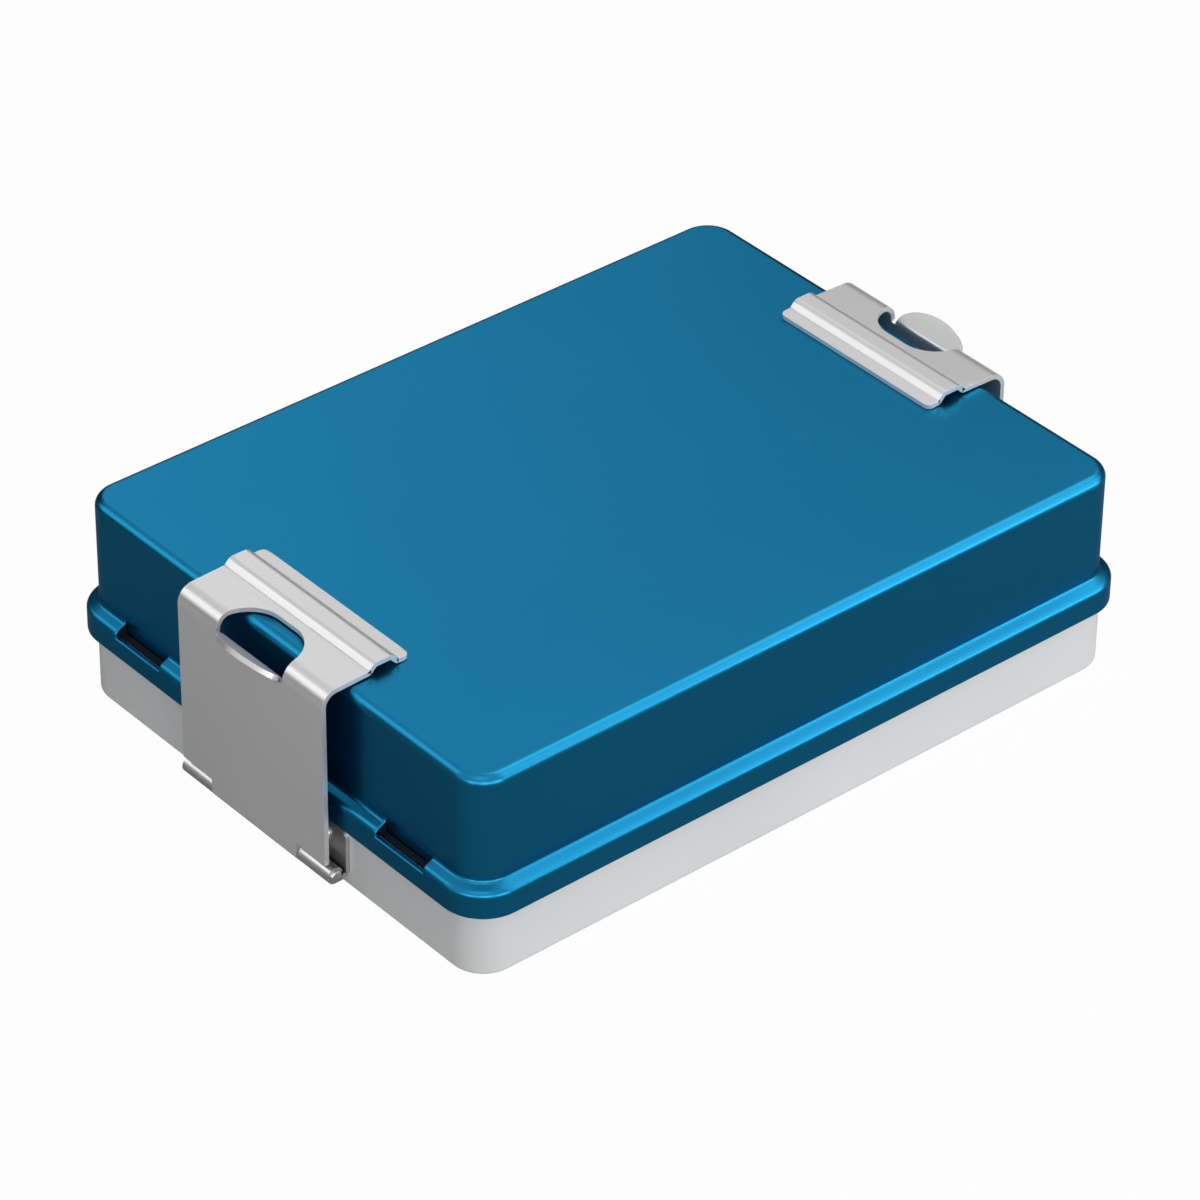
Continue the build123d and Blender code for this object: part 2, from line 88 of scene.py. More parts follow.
def arc(centre: tuple[float, float], radius: float, start: float, end: float, steps: int) -> np.ndarray:
    """Points of a circular arc: centre plus radius times (cosine, sine) of evenly spaced angles.

    Args:
        centre: The arc's centre.
        radius: Its radius.
        start: Angle of the first point, in degrees.
        end: Angle of the last point, in degrees.
        steps: Number of equal parts.

    Returns:
        Array of shape (steps + 1, 2).
    """
    angles = np.radians(np.linspace(start, end, steps + 1))
    return np.asarray(centre) + radius * np.column_stack((np.cos(angles), np.sin(angles)))


def filleted_line(corners: list[tuple[float, float]], radii: list[float], steps: int) -> np.ndarray:
    """A line of straight runs whose corners are tangent arcs.

    Each arc touches both runs at radius times the tangent of half the turn from the corner, and its
    centre lies on the corner's bisector.

    Args:
        corners: First point, corners and last point.
        radii: One radius for each inner corner.
        steps: Parts of each arc.

    Returns:
        Array of points of shape (n, 2).
    """
    points = [np.asarray(corners[0], float)[None]]
    for before, corner, after, radius in zip(corners, corners[1:], corners[2:], radii):
        corner = np.asarray(corner, float)
        back = np.asarray(before) - corner
        ahead = np.asarray(after) - corner
        back /= np.linalg.norm(back)
        ahead /= np.linalg.norm(ahead)
        half = math.acos(float(np.clip(back @ ahead, -1, 1))) / 2
        bisector = (back + ahead) / np.linalg.norm(back + ahead)
        centre = corner + bisector * radius / math.sin(half)
        first = corner + back * radius / math.tan(half) - centre
        last = corner + ahead * radius / math.tan(half) - centre
        start = math.degrees(math.atan2(first[1], first[0]))
        turn = math.degrees(math.atan2(last[1], last[0])) - start
        turn = (turn + 180) % 360 - 180
        points.append(arc(tuple(centre), radius, start, start + turn, steps))
    points.append(np.asarray(corners[-1], float)[None])
    return np.vstack(points)


def run_length(line: np.ndarray) -> np.ndarray:
    """Distance of every point of a line from its first point, along the line."""
    return np.concatenate(([0.0], np.cumsum(np.linalg.norm(np.diff(line, axis=0), axis=1))))


def along(line: np.ndarray, distance: np.ndarray) -> np.ndarray:
    """Points of a line at given distances from its start, worked out between its own points."""
    reach = run_length(line)
    return np.stack([np.interp(distance, reach, line[:, i]) for i in range(line.shape[1])], axis=-1)


def stops(*marks: float, step: float) -> np.ndarray:
    """Places from the first mark to the last that include every mark and lie a step or less apart."""
    parts = [np.linspace(a, b, max(2, math.ceil((b - a) / step) + 1))[:-1] for a, b in zip(marks, marks[1:])]
    return np.concatenate([*parts, [marks[-1]]])


@dataclass
class RingPlan:
    """How the points of a rounded rectangle are spread, the same for rings of any size.

    Attributes:
        along_x: Places on the straight long sides, from -1 to 1.
        along_y: Places on the straight short sides, from -1 to 1.
        corner_steps: Parts of each corner arc.
    """

    along_x: np.ndarray
    along_y: np.ndarray
    corner_steps: int

    def ring(self, half_length: float, half_width: float, radius: float) -> np.ndarray:
        """Points of a rounded rectangle, anticlockwise from the lower end of its right side.

        Args:
            half_length: Half the size along X.
            half_width: Half the size along Y.
            radius: Corner radius, where zero repeats the corner's point.

        Returns:
            Array of shape (n, 2).
        """
        reach_x, reach_y = half_length - radius, half_width - radius
        sides = []
        for turn in range(4):
            places = (self.along_y, self.along_x)[turn % 2]
            run = places * (reach_y, reach_x)[turn % 2]
            out = np.full_like(run, (half_length, half_width)[turn % 2])
            cx, cy = ((reach_x, reach_y), (reach_y, reach_x))[turn % 2]
            side = np.column_stack((out, run))
            bend = arc((cx, cy), radius, 0, 90, self.corner_steps)[1:-1]
            part = np.vstack((side, bend))
            angle = math.radians(90 * turn)
            spin = np.array([[math.cos(angle), math.sin(angle)], [-math.sin(angle), math.cos(angle)]])
            sides.append(part @ spin)
        return np.vstack(sides)


class Surface:
    """A sheet's face made of grids that share their borders."""

    def __init__(self) -> None:
        """Starts with no points and no faces."""
        self.points: list[np.ndarray] = []
        self.faces: list[np.ndarray] = []
        self.count = 0

    def add(self, points: np.ndarray, faces: np.ndarray) -> None:
        """Adds points, and faces that number them from zero.

        Args:
            points: Array of shape (n, 3).
            faces: Array of shape (m, 3) or (m, 4).
        """
        self.points.append(points.reshape(-1, 3))
        self.faces.append(faces + self.count)
        self.count += len(self.points[-1])

    def add_grid(self, grid: np.ndarray, closed: bool = False, keep: np.ndarray | None = None) -> None:
        """Adds a grid: each face joins a point to the next in its row and to the two below.

        Args:
            grid: Array of shape (rows, columns, 3).
            closed: Whether each row's last point joins its first.
            keep: Mask of shape (rows - 1, columns or columns - 1) of the faces to make.
        """
        rows, columns = grid.shape[:2]
        number = np.arange(rows * columns).reshape(rows, columns)
        if closed:
            number = np.column_stack((number, number[:, 0]))
        faces = np.stack((number[:-1, :-1], number[:-1, 1:], number[1:, 1:], number[1:, :-1]), axis=-1)
        if keep is not None:
            faces = faces[keep]
        self.add(grid, faces.reshape(-1, 4))

    def add_fan(self, ring: np.ndarray) -> None:
        """Adds a flat face over a ring: a triangle from each side to the ring's middle.

        Args:
            ring: Array of shape (n, 3).
        """
        count = len(ring)
        number = np.arange(count)
        faces = np.column_stack((number, np.roll(number, -1), np.full(count, count)))
        self.add(np.vstack((ring, ring.mean(axis=0))), faces)

    def make(self, name: str, inside: tuple[float, float, float]) -> bpy.types.Object:
        """Writes the surface into a mesh with its faces turned away from a point inside the form.

        Args:
            name: The piece's name.
            inside: A point on the inner side of the sheet, in millimetres.

        Returns:
            The new object, at the origin.
        """
        points = np.vstack(self.points) * MM
        sizes = np.concatenate([np.full(len(f), f.shape[1]) for f in self.faces])
        mesh = bpy.data.meshes.new(name)
        mesh.vertices.add(len(points))
        mesh.vertices.foreach_set("co", points.astype(np.float32).ravel())
        loops = np.concatenate([f.ravel() for f in self.faces]).astype(np.int32)
        mesh.loops.add(len(loops))
        mesh.loops.foreach_set("vertex_index", loops)
        mesh.polygons.add(len(sizes))
        mesh.polygons.foreach_set("loop_start", np.concatenate(([0], np.cumsum(sizes)[:-1])).astype(np.int32))
        mesh.update(calc_edges=True)
        mesh.validate()
        welded = bmesh.new()
        welded.from_mesh(mesh)
        bmesh.ops.remove_doubles(welded, verts=welded.verts, dist=WELD * MM)
        bmesh.ops.recalc_face_normals(welded, faces=welded.faces)
        welded.to_mesh(mesh)
        welded.free()
        if outward_share(mesh, np.asarray(inside) * MM) < 0:
            mesh.flip_normals()
        mesh.polygons.foreach_set("use_smooth", np.ones(len(mesh.polygons), bool))
        return show(bpy.data.objects.new(name, mesh))


def outward_share(mesh: bpy.types.Mesh, inside: np.ndarray) -> float:
    """Sum over the faces of area times the normal's dot with the direction away from a point.

    Args:
        mesh: The mesh to sum over.
        inside: The point, in metres.

    Returns:
        The sum, which is above zero where the faces look away from the point.
    """
    count = len(mesh.polygons)
    normals, centres, areas = np.zeros(count * 3), np.zeros(count * 3), np.zeros(count)
    mesh.polygons.foreach_get("normal", normals)
    mesh.polygons.foreach_get("center", centres)
    mesh.polygons.foreach_get("area", areas)
    away = centres.reshape(-1, 3) - inside
    return float(np.sum(areas * np.sum(normals.reshape(-1, 3) * away, axis=1)))


def cut_edges(mesh: bpy.types.Mesh, below: float) -> np.ndarray:
    """Mask of the edges that border one face only and end below a height in millimetres.

    Args:
        mesh: The mesh whose edges are tested.
        below: Height that both ends lie under, in millimetres.

    Returns:
        One value for each edge.
    """
    loops, ends = np.zeros(len(mesh.loops), np.int32), np.zeros(len(mesh.edges) * 2, np.int32)
    places = np.zeros(len(mesh.vertices) * 3)
    mesh.loops.foreach_get("edge_index", loops)
    mesh.edges.foreach_get("vertices", ends)
    mesh.vertices.foreach_get("co", places)
    heights = places.reshape(-1, 3)[ends, 2].reshape(-1, 2).max(axis=1)
    return (np.bincount(loops, minlength=len(mesh.edges)) == 1) & (heights < below * MM)


def thicken(piece: bpy.types.Object, sheet: float, edge: float, side: int = -1, below: float = math.inf,
            clamp: bool = True) -> None:
    """Gives a surface its sheet thickness and rounds its cut edges.

    Args:
        piece: The surface's object.
        sheet: Thickness in millimetres.
        edge: Width of the rounding in millimetres.
        side: -1 to thicken inwards, 1 to thicken outwards.
        below: Cut edges above this height stay sharp.
        clamp: Whether the rounding is kept narrower than the mesh's shortest rows.
    """
    mask = cut_edges(piece.data, below)
    weights = piece.data.attributes.new("bevel_weight_edge", "FLOAT", "EDGE")
    weights.data.foreach_set("value", mask.astype(np.float32))
    solid = piece.modifiers.new("sheet", "SOLIDIFY")
    solid.thickness = sheet * MM
    solid.offset = side
    solid.use_even_offset = True
    soften(piece, edge, by_weight=True, clamp=clamp)


def soften(piece: bpy.types.Object, edge: float, by_weight: bool = False, clamp: bool = True) -> None:
    """Rounds the edges of a piece and keeps its flats flat in the shading.

    Args:
        piece: The object.
        edge: Width of the rounding in millimetres.
        by_weight: Whether only edges with a bevel weight are rounded, or every edge that turns sharply.
        clamp: Whether the rounding is kept narrower than the mesh's shortest rows.
    """
    bevel = piece.modifiers.new("rounded_edges", "BEVEL")
    bevel.width = edge * MM
    bevel.segments = 3 if by_weight else 2
    bevel.limit_method = "WEIGHT" if by_weight else "ANGLE"
    bevel.angle_limit = math.radians(50)
    bevel.use_clamp_overlap = clamp
    weigh = piece.modifiers.new("flat_shading", "WEIGHTED_NORMAL")
    weigh.keep_sharp = True
    weigh.weight = 80


def lathe(profile: np.ndarray, origin: tuple[float, float, float], axis: str, steps: int = 32) -> Surface:
    """A turned surface: the profile's radius times (cosine, sine) of the turn, its height along the axis.

    Args:
        profile: Rows of (radius, height).
        origin: Where radius and height are zero, in millimetres.
        axis: "x", "y" or "z", the direction of height.
        steps: Parts of the full turn.

    Returns:
        The surface.
    """
    turn = np.linspace(0, 2 * np.pi, steps, endpoint=False)
    radius, height = profile[:, :1], np.repeat(profile[:, 1:2], steps, axis=1)
    flat = (radius * np.cos(turn), radius * np.sin(turn), height)
    order = {"x": (2, 0, 1), "y": (0, 2, 1), "z": (0, 1, 2)}[axis]
    grid = np.stack([flat[i] for i in order], axis=-1) + np.asarray(origin)
    surface = Surface()
    surface.add_grid(grid, closed=True)
    return surface


# ---------------------------------------------------------------- shader node groups


def new_group(name: str, inputs: dict[str, float], outputs: dict[str, str]) -> bpy.types.NodeTree:
    """An empty shader group with number inputs and the outputs that are named.

    Args:
        name: The group's name.
        inputs: Default value of each input.
        outputs: Socket type of each output, such as NodeSocketFloat.

    Returns:
        The node tree, with its input and output nodes named "in" and "out".
    """
    group = bpy.data.node_groups.new(name, "ShaderNodeTree")
    group.interface.new_socket("Vector", in_out="INPUT", socket_type="NodeSocketVector")
    for label, value in inputs.items():
        socket = group.interface.new_socket(label, in_out="INPUT", socket_type="NodeSocketFloat")
        socket.default_value = value
    for label, kind in outputs.items():
        group.interface.new_socket(label, in_out="OUTPUT", socket_type=kind)
    group.nodes.new("NodeGroupInput").name = "in"
    group.nodes.new("NodeGroupOutput").name = "out"
    return group


def add_node(tree: bpy.types.NodeTree, kind: str, **settings: object) -> bpy.types.Node:
    """Adds a node; settings named as its sockets set or link those sockets, the rest set properties.

    Args:
        tree: The tree that gets the node.
        kind: The node's type name.
        settings: Values, and sockets to link from, by socket or property name.

    Returns:
        The node.
    """
    node = tree.nodes.new(kind)
    for key, value in settings.items():
        if isinstance(value, bpy.types.NodeSocket):
            tree.links.new(value, node.inputs[key])
        elif key in node.inputs:
            node.inputs[key].default_value = value
        else:
            setattr(node, key, value)
    return node


def math_node(tree: bpy.types.NodeTree, operation: str, first: bpy.types.NodeSocket | float,
              second: bpy.types.NodeSocket | float = 0.0) -> bpy.types.NodeSocket:
    """A Math node on two sockets or numbers; returns its output.

    Args:
        tree: The tree that gets the node.
        operation: What the node works out.
        first: First socket or number.
        second: Second socket or number.

    Returns:
        The node's output.
    """
    node = tree.nodes.new("ShaderNodeMath")
    node.operation = operation
    for socket, value in zip(node.inputs, (first, second)):
        if isinstance(value, bpy.types.NodeSocket):
            tree.links.new(value, socket)
        else:
            socket.default_value = value
    return node.outputs[0]


def grain_group() -> bpy.types.NodeTree:
    """Fine grain of a blasted or drawn metal: noise stretched by three scales, as a height from 0 to 1.

    Returns:
        The group, with a Height output for the grain and a Mottle output for broad colour variation.
    """
    group = new_group("grain", {"Scale": 900.0, "Stretch X": 1.0, "Stretch Y": 1.0, "Stretch Z": 1.0},
                      {"Height": "NodeSocketFloat", "Mottle": "NodeSocketFloat"})
    source, sink = group.nodes["in"], group.nodes["out"]
    place = source.outputs["Vector"]
    scales = {axis: source.outputs[f"Stretch {axis}"] for axis in "XYZ"}
    combine = add_node(group, "ShaderNodeCombineXYZ", **scales)
    stretch = add_node(group, "ShaderNodeVectorMath", operation="MULTIPLY", Vector=place)
    group.links.new(combine.outputs[0], stretch.inputs[1])
    fine = add_node(group, "ShaderNodeTexNoise", Detail=3.0, Roughness=0.6, Vector=stretch.outputs[0],
                    Scale=source.outputs["Scale"])
    group.links.new(fine.outputs["Fac"], sink.inputs["Height"])
    broad = add_node(group, "ShaderNodeTexNoise", Scale=14.0, Detail=2.0, Roughness=0.5, Vector=place)
    group.links.new(broad.outputs["Fac"], sink.inputs["Mottle"])
    return group


def handling_group() -> bpy.types.NodeTree:
    """Marks of handling: sparse hairline scratches and soft smudges, each as a mask from 0 to 1.

    Returns:
        The group, with a Scratches output and a Smudges output.
    """
    group = new_group("handling", {"Scale": 60.0, "Amount": 0.5},
                      {"Scratches": "NodeSocketFloat", "Smudges": "NodeSocketFloat"})
    source, sink = group.nodes["in"], group.nodes["out"]
    place, amount = source.outputs["Vector"], source.outputs["Amount"]
    warp = add_node(group, "ShaderNodeTexNoise", Scale=40.0, Detail=1.0, Vector=place)
    shift = add_node(group, "ShaderNodeVectorMath", operation="MULTIPLY_ADD", Vector=warp.outputs["Color"])
    shift.inputs[1].default_value = (0.02, 0.02, 0.02)
    group.links.new(place, shift.inputs[2])
    cells = add_node(group, "ShaderNodeTexVoronoi", feature="DISTANCE_TO_EDGE", Vector=shift.outputs[0],
                     Scale=source.outputs["Scale"])
    line = add_node(group, "ShaderNodeMapRange", Value=cells.outputs["Distance"],
                    **{"From Max": 0.006, "To Min": 1.0, "To Max": 0.0})
    patch = add_node(group, "ShaderNodeTexNoise", Scale=35.0, Detail=2.0, Vector=place)
    rare = add_node(group, "ShaderNodeMapRange", Value=patch.outputs["Fac"], **{"From Min": 0.58, "From Max": 0.7})
    scratch = math_node(group, "MULTIPLY", line.outputs[0], rare.outputs[0])
    group.links.new(math_node(group, "MULTIPLY", scratch, amount), sink.inputs["Scratches"])
    soft = add_node(group, "ShaderNodeTexNoise", Scale=9.0, Detail=4.0, Roughness=0.55, Distortion=0.6,
                    Vector=place)
    spread = add_node(group, "ShaderNodeMapRange", Value=soft.outputs["Fac"],
                      **{"From Min": 0.35, "From Max": 0.75})
    group.links.new(math_node(group, "MULTIPLY", spread.outputs[0], amount), sink.inputs["Smudges"])
    return group


@dataclass
class Effects:
    """The node groups that the finishes share, each built once."""

    grain: bpy.types.NodeTree = field(default_factory=grain_group)
    handling: bpy.types.NodeTree = field(default_factory=handling_group)


EFFECTS = Effects()


# ---------------------------------------------------------------- finishes


@dataclass(frozen=True)
class Finish:
    """A procedural finish: one Principled BSDF fed by the shared effects.

    Attributes:
        slot: The record's material slot, which also names the material.
        colour: Base colour, linear.
        mark: Colour of wear and smudges, linear.
        roughness: Plain roughness.
        roughness_spread: How far smudges change it.
        metallic: 1 for metal.
        grain_scale: Grain size, as a noise scale per metre.
        grain_stretch: Stretch of the grain along X, Y and Z.
        grain_depth: Depth of the grain in millimetres.
        handling: Amount of scratches and smudges.
        mottle: How far the broad noise changes the colour.
        edge_tint: Tint of the reflection at a grazing angle.
        specular: Strength of the reflection of a finish that isn't metal.
    """

    slot: str
    colour: tuple[float, float, float]
    mark: tuple[float, float, float]
    roughness: float
    roughness_spread: float = 0.06
    metallic: float = 1.0
    grain_scale: float = 1400.0
    grain_stretch: tuple[float, float, float] = (1.0, 1.0, 1.0)
    grain_depth: float = 0.01
    handling: float = 0.5
    mottle: float = 0.05
    edge_tint: tuple[float, float, float] = (1.0, 1.0, 1.0)
    specular: float = 0.5

    @cache
    def material(self) -> bpy.types.Material:
        """The finish as a material, built on first use.

        Returns:
            The material.
        """
        material = bpy.data.materials.new(f"{self.slot}_finish")
        material.use_nodes = True
        tree = material.node_tree
        shader = tree.nodes["Principled BSDF"]
        shader.inputs["Metallic"].default_value = self.metallic
        shader.inputs["Specular Tint"].default_value = (*self.edge_tint, 1)
        shader.inputs["Specular IOR Level"].default_value = self.specular
        place = add_node(tree, "ShaderNodeTexCoord")
        grain = add_node(tree, "ShaderNodeGroup", node_tree=EFFECTS.grain, Scale=self.grain_scale,
                         Vector=place.outputs["Object"])
        for axis, stretch in zip("XYZ", self.grain_stretch):
            grain.inputs[f"Stretch {axis}"].default_value = stretch
        marks = add_node(tree, "ShaderNodeGroup", node_tree=EFFECTS.handling, Amount=self.handling,
                         Vector=place.outputs["Object"])
        mottled = add_node(tree, "ShaderNodeMix", data_type="RGBA")
        mottled.inputs["A"].default_value = (*(c * (1 - self.mottle) for c in self.colour), 1)
        mottled.inputs["B"].default_value = (*(c * (1 + self.mottle) for c in self.colour), 1)
        tree.links.new(grain.outputs["Mottle"], mottled.inputs["Factor"])
        worn = add_node(tree, "ShaderNodeMix", data_type="RGBA")
        worn.inputs["B"].default_value = (*self.mark, 1)
        tree.links.new(mottled.outputs["Result"], worn.inputs["A"])
        share = math_node(tree, "MULTIPLY", marks.outputs["Scratches"], 0.5)
        tree.links.new(share, worn.inputs["Factor"])
        tree.links.new(worn.outputs["Result"], shader.inputs["Base Color"])
        rough = math_node(tree, "MULTIPLY", marks.outputs["Smudges"], self.roughness_spread * 2)
        fine = math_node(tree, "MULTIPLY", grain.outputs["Height"], self.roughness_spread)
        rough = math_node(tree, "ADD", math_node(tree, "ADD", rough, fine), self.roughness)
        tree.links.new(rough, shader.inputs["Roughness"])
        bump = add_node(tree, "ShaderNodeBump", Strength=1.0, Distance=self.grain_depth * MM)
        tree.links.new(grain.outputs["Height"], bump.inputs["Height"])
        tree.links.new(bump.outputs["Normal"], shader.inputs["Normal"])
        return material

    def dress(self, piece: bpy.types.Object) -> None:
        """Gives the piece this finish in its one material slot."""
        piece.data.materials.clear()
        piece.data.materials.append(self.material())


BLUE_ANODISED = Finish("blue_anodised", (0.0098, 0.172, 0.325), (0.06, 0.26, 0.4), 0.27,
                       edge_tint=(0.58, 0.64, 0.75))
SILVER_ANODISED = Finish("silver_anodised", (0.85, 0.865, 0.87), (0.9, 0.9, 0.9), 0.4,
                         metallic=0.3)
SPRING_STEEL = Finish("spring_steel", (0.75, 0.75, 0.75), (0.8, 0.8, 0.8), 0.25,
                      metallic=0.45, grain_stretch=(0.06, 1.0, 0.06), grain_scale=2600.0, grain_depth=0.0015)
STAINLESS = Finish("stainless", (0.58, 0.58, 0.58), (0.75, 0.75, 0.75), 0.3)
DARK_SILICONE = Finish("dark_silicone", (0.004, 0.012, 0.02), (0.02, 0.03, 0.04), 0.6,
                       metallic=0.0, specular=0.2)
GREY_SILICONE = Finish("grey_silicone", (0.12, 0.125, 0.13), (0.2, 0.2, 0.2), 0.55,
                       metallic=0.0)
BLUE_SILICONE = Finish("blue_silicone", (0.02, 0.12, 0.28), (0.1, 0.2, 0.35), 0.5,
                       metallic=0.0)
FILTER_PAPER = Finish("filter_paper", (0.85, 0.85, 0.8), (0.8, 0.78, 0.7), 0.9,
                      metallic=0.0, grain_depth=0.05)

NODE_FINISHES = {finish.slot: finish for finish in (
    DARK_SILICONE, GREY_SILICONE, BLUE_SILICONE, FILTER_PAPER, STAINLESS, SPRING_STEEL, BLUE_ANODISED,
    SILVER_ANODISED)}


def settle(piece: bpy.types.Object, body: str, finish: Finish, *nodes: str) -> None:
    """Dresses a new piece, lets it ride a body and stand for its nodes, and logs it.

    Args:
        piece: The new object.
        body: The body that it moves with.
        finish: Its finish.
        nodes: The CAD nodes that it stands for.
    """
    finish.dress(piece)
    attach(piece, body)
    if nodes:
        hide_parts(*nodes)
    LOG.info("%s: %d faces on %s", piece.name, len(piece.data.polygons), body)


# ---------------------------------------------------------------- lid


@dataclass
class Lid:
    """The drawn lid: top, walls, a sloped shoulder and a skirt, with rim slots at its short ends.

    The outer corners come from the frame; the rest are the lid's own sizes.
    """

    sheet: float = 1.2
    corner_radius: float = 8.0
    edge_radius: float = 2.4
    rim_reach: float = 3.0
    shoulder_height: float = 24.2
    shoulder_slope: float = 23.0
    shoulder_radius: float = 1.8
    root_radius: float = 1.1
    slot_length: float = 16.4
    slot_from_side: float = 23.7
    slot_strip_top: float = 22.6
    slot_top: float = 27.0
    slot_pocket: float = 0.45
    crease: float = 0.03
    column_gap: float = 1.2
    spare_row: float = 6.0
    bevel: float = 0.4
    bevel_margin: float = 0.2
    half_length: float = field(init=False)
    half_width: float = field(init=False)
    bottom: float = field(init=False)
    top: float = field(init=False)

    def __post_init__(self) -> None:
        """Reads the lid's corners from the frame."""
        low, high = (np.array(corner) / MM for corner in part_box("lid_shell"))
        self.half_length = float(high[0]) - self.rim_reach
        self.half_width = float(high[1]) - self.rim_reach
        self.bottom, self.top = float(low[2]), float(high[2])

    def plan(self) -> RingPlan:
        """Ring points that include both edges of every rim slot.

        Returns:
            The plan for every ring of the lid.
        """
        straight = self.half_width - self.corner_radius
        middle = self.half_width - self.slot_from_side
        near, far = middle - self.slot_length / 2, middle + self.slot_length / 2
        marks = (near, near + self.crease, far - self.crease, far)
        along_y = stops(-straight, *(-m for m in reversed(marks)), *marks, straight, step=6.0) / straight
        return RingPlan(np.linspace(-1, 1, 25), along_y, 16)

    def profile(self) -> np.ndarray:
        """Rows of (reach from the wall, height): skirt, rounded rim, sloped shoulder, root, wall, edge.

        Returns:
            Array of shape (n, 2), from the bottom up.
        """
        reach, wall_end = self.rim_reach, self.top - self.edge_radius
        wall_foot = self.shoulder_height + reach * math.tan(math.radians(self.shoulder_slope))
        corners = [(reach, self.bottom), (reach, self.shoulder_height), (0, wall_foot), (0, self.top)]
        shoulder = filleted_line(corners, [self.shoulder_radius, self.root_radius], 8)
        strip_top = self.slot_strip_top
        return np.vstack((
            [(reach, self.bottom), (reach, (self.bottom + strip_top) / 2), (reach, strip_top)],
            shoulder[1:-1],
            [(0, self.slot_top - self.crease), (0, self.slot_top), (0, self.slot_top + self.spare_row),
             (0, wall_end - self.spare_row)],
            arc((-self.edge_radius, wall_end), self.edge_radius, 0, 90, 12),
        ))

    def wall_grid(self) -> tuple[np.ndarray, np.ndarray, list[np.ndarray], float]:
        """The wall surface, the mask of its faces and the tongues behind the rim slots.

        A point is the ring of its place moved out by the profile's reach, at the profile's height. Over a
        slot the wall steps in by the pocket's depth, the faces of the shoulder are left out, and a tongue
        carries the pocket's floor straight down to the strip's height. Above and below the pocket the
        columns beside it stand further apart, so that the broken edges have room.

        Returns:
            The grid, the mask, one grid for each tongue, and the height of the wall's foot.
        """
        plan, profile = self.plan(), self.profile()
        reach, heights = profile.T
        rows = [plan.ring(self.half_length + d, self.half_width + d, self.corner_radius + d) for d in reach]
        grid = np.stack([np.column_stack((r, np.full(len(r), z))) for r, z in zip(rows, heights)])
        foot = int(np.argmax(reach < ALMOST))
        base = rows[foot]
        middle = self.half_width - self.slot_from_side
        on_end = np.abs(np.abs(base[:, 0]) - self.half_length) < self.crease
        inside = on_end & (np.abs(np.abs(base[:, 1]) - middle) < (self.slot_length - self.crease) / 2)
        pocket = (np.arange(len(reach)) >= foot) & (heights < self.slot_top - self.crease / 2)
        shift = np.where(pocket[:, None] & inside[None], self.slot_pocket, 0.0)
        grid[..., 0] -= np.sign(grid[..., 0]) * shift
        before, after = (~inside & np.roll(inside, step) & on_end for step in (-1, 1))
        apart = self.column_gap * (after.astype(float) - before) * np.sign(base[:, 0])
        grid[..., 1] += np.where(pocket[:, None], 0.0, apart[None])
        open_rows = (heights[:-1] > self.slot_strip_top - ALMOST) & (np.arange(len(reach) - 1) < foot)
        keep = ~(open_rows[:, None] & (inside & np.roll(inside, -1))[None])
        columns = np.flatnonzero(inside)
        tongues = []
        for places in np.split(columns, np.flatnonzero(np.diff(columns) > 1) + 1):
            tongue = np.repeat(grid[foot, places][None], 4, axis=0)
            tongue[..., 2] = np.linspace(heights[foot], self.slot_strip_top, 4)[:, None]
            tongues.append(tongue)
        return grid, keep, tongues, float(heights[foot])

    def build(self) -> None:
        """Makes the shell, with its top as rings drawn in towards the middle."""
        grid, keep, tongues, foot = self.wall_grid()
        surface = Surface()
        surface.add_grid(grid, closed=True, keep=keep)
        for tongue in tongues:
            surface.add_grid(tongue)
        edge = grid[-1]
        shrink = np.array([1.0, 0.97, 0.85, 0.6, 0.3, 0.1])
        top = edge[None] * np.stack((shrink, shrink, np.ones_like(shrink)), axis=-1)[:, None, :]
        surface.add_grid(top, closed=True)
        surface.add_fan(top[-1])
        shell = surface.make("lid_skin", (0.0, 0.0, self.top / 2))
        thicken(shell, self.sheet, self.bevel, below=foot - self.bevel_margin, clamp=False)
        settle(shell, "lid", BLUE_ANODISED, "lid_shell")


# ---------------------------------------------------------------- base pan


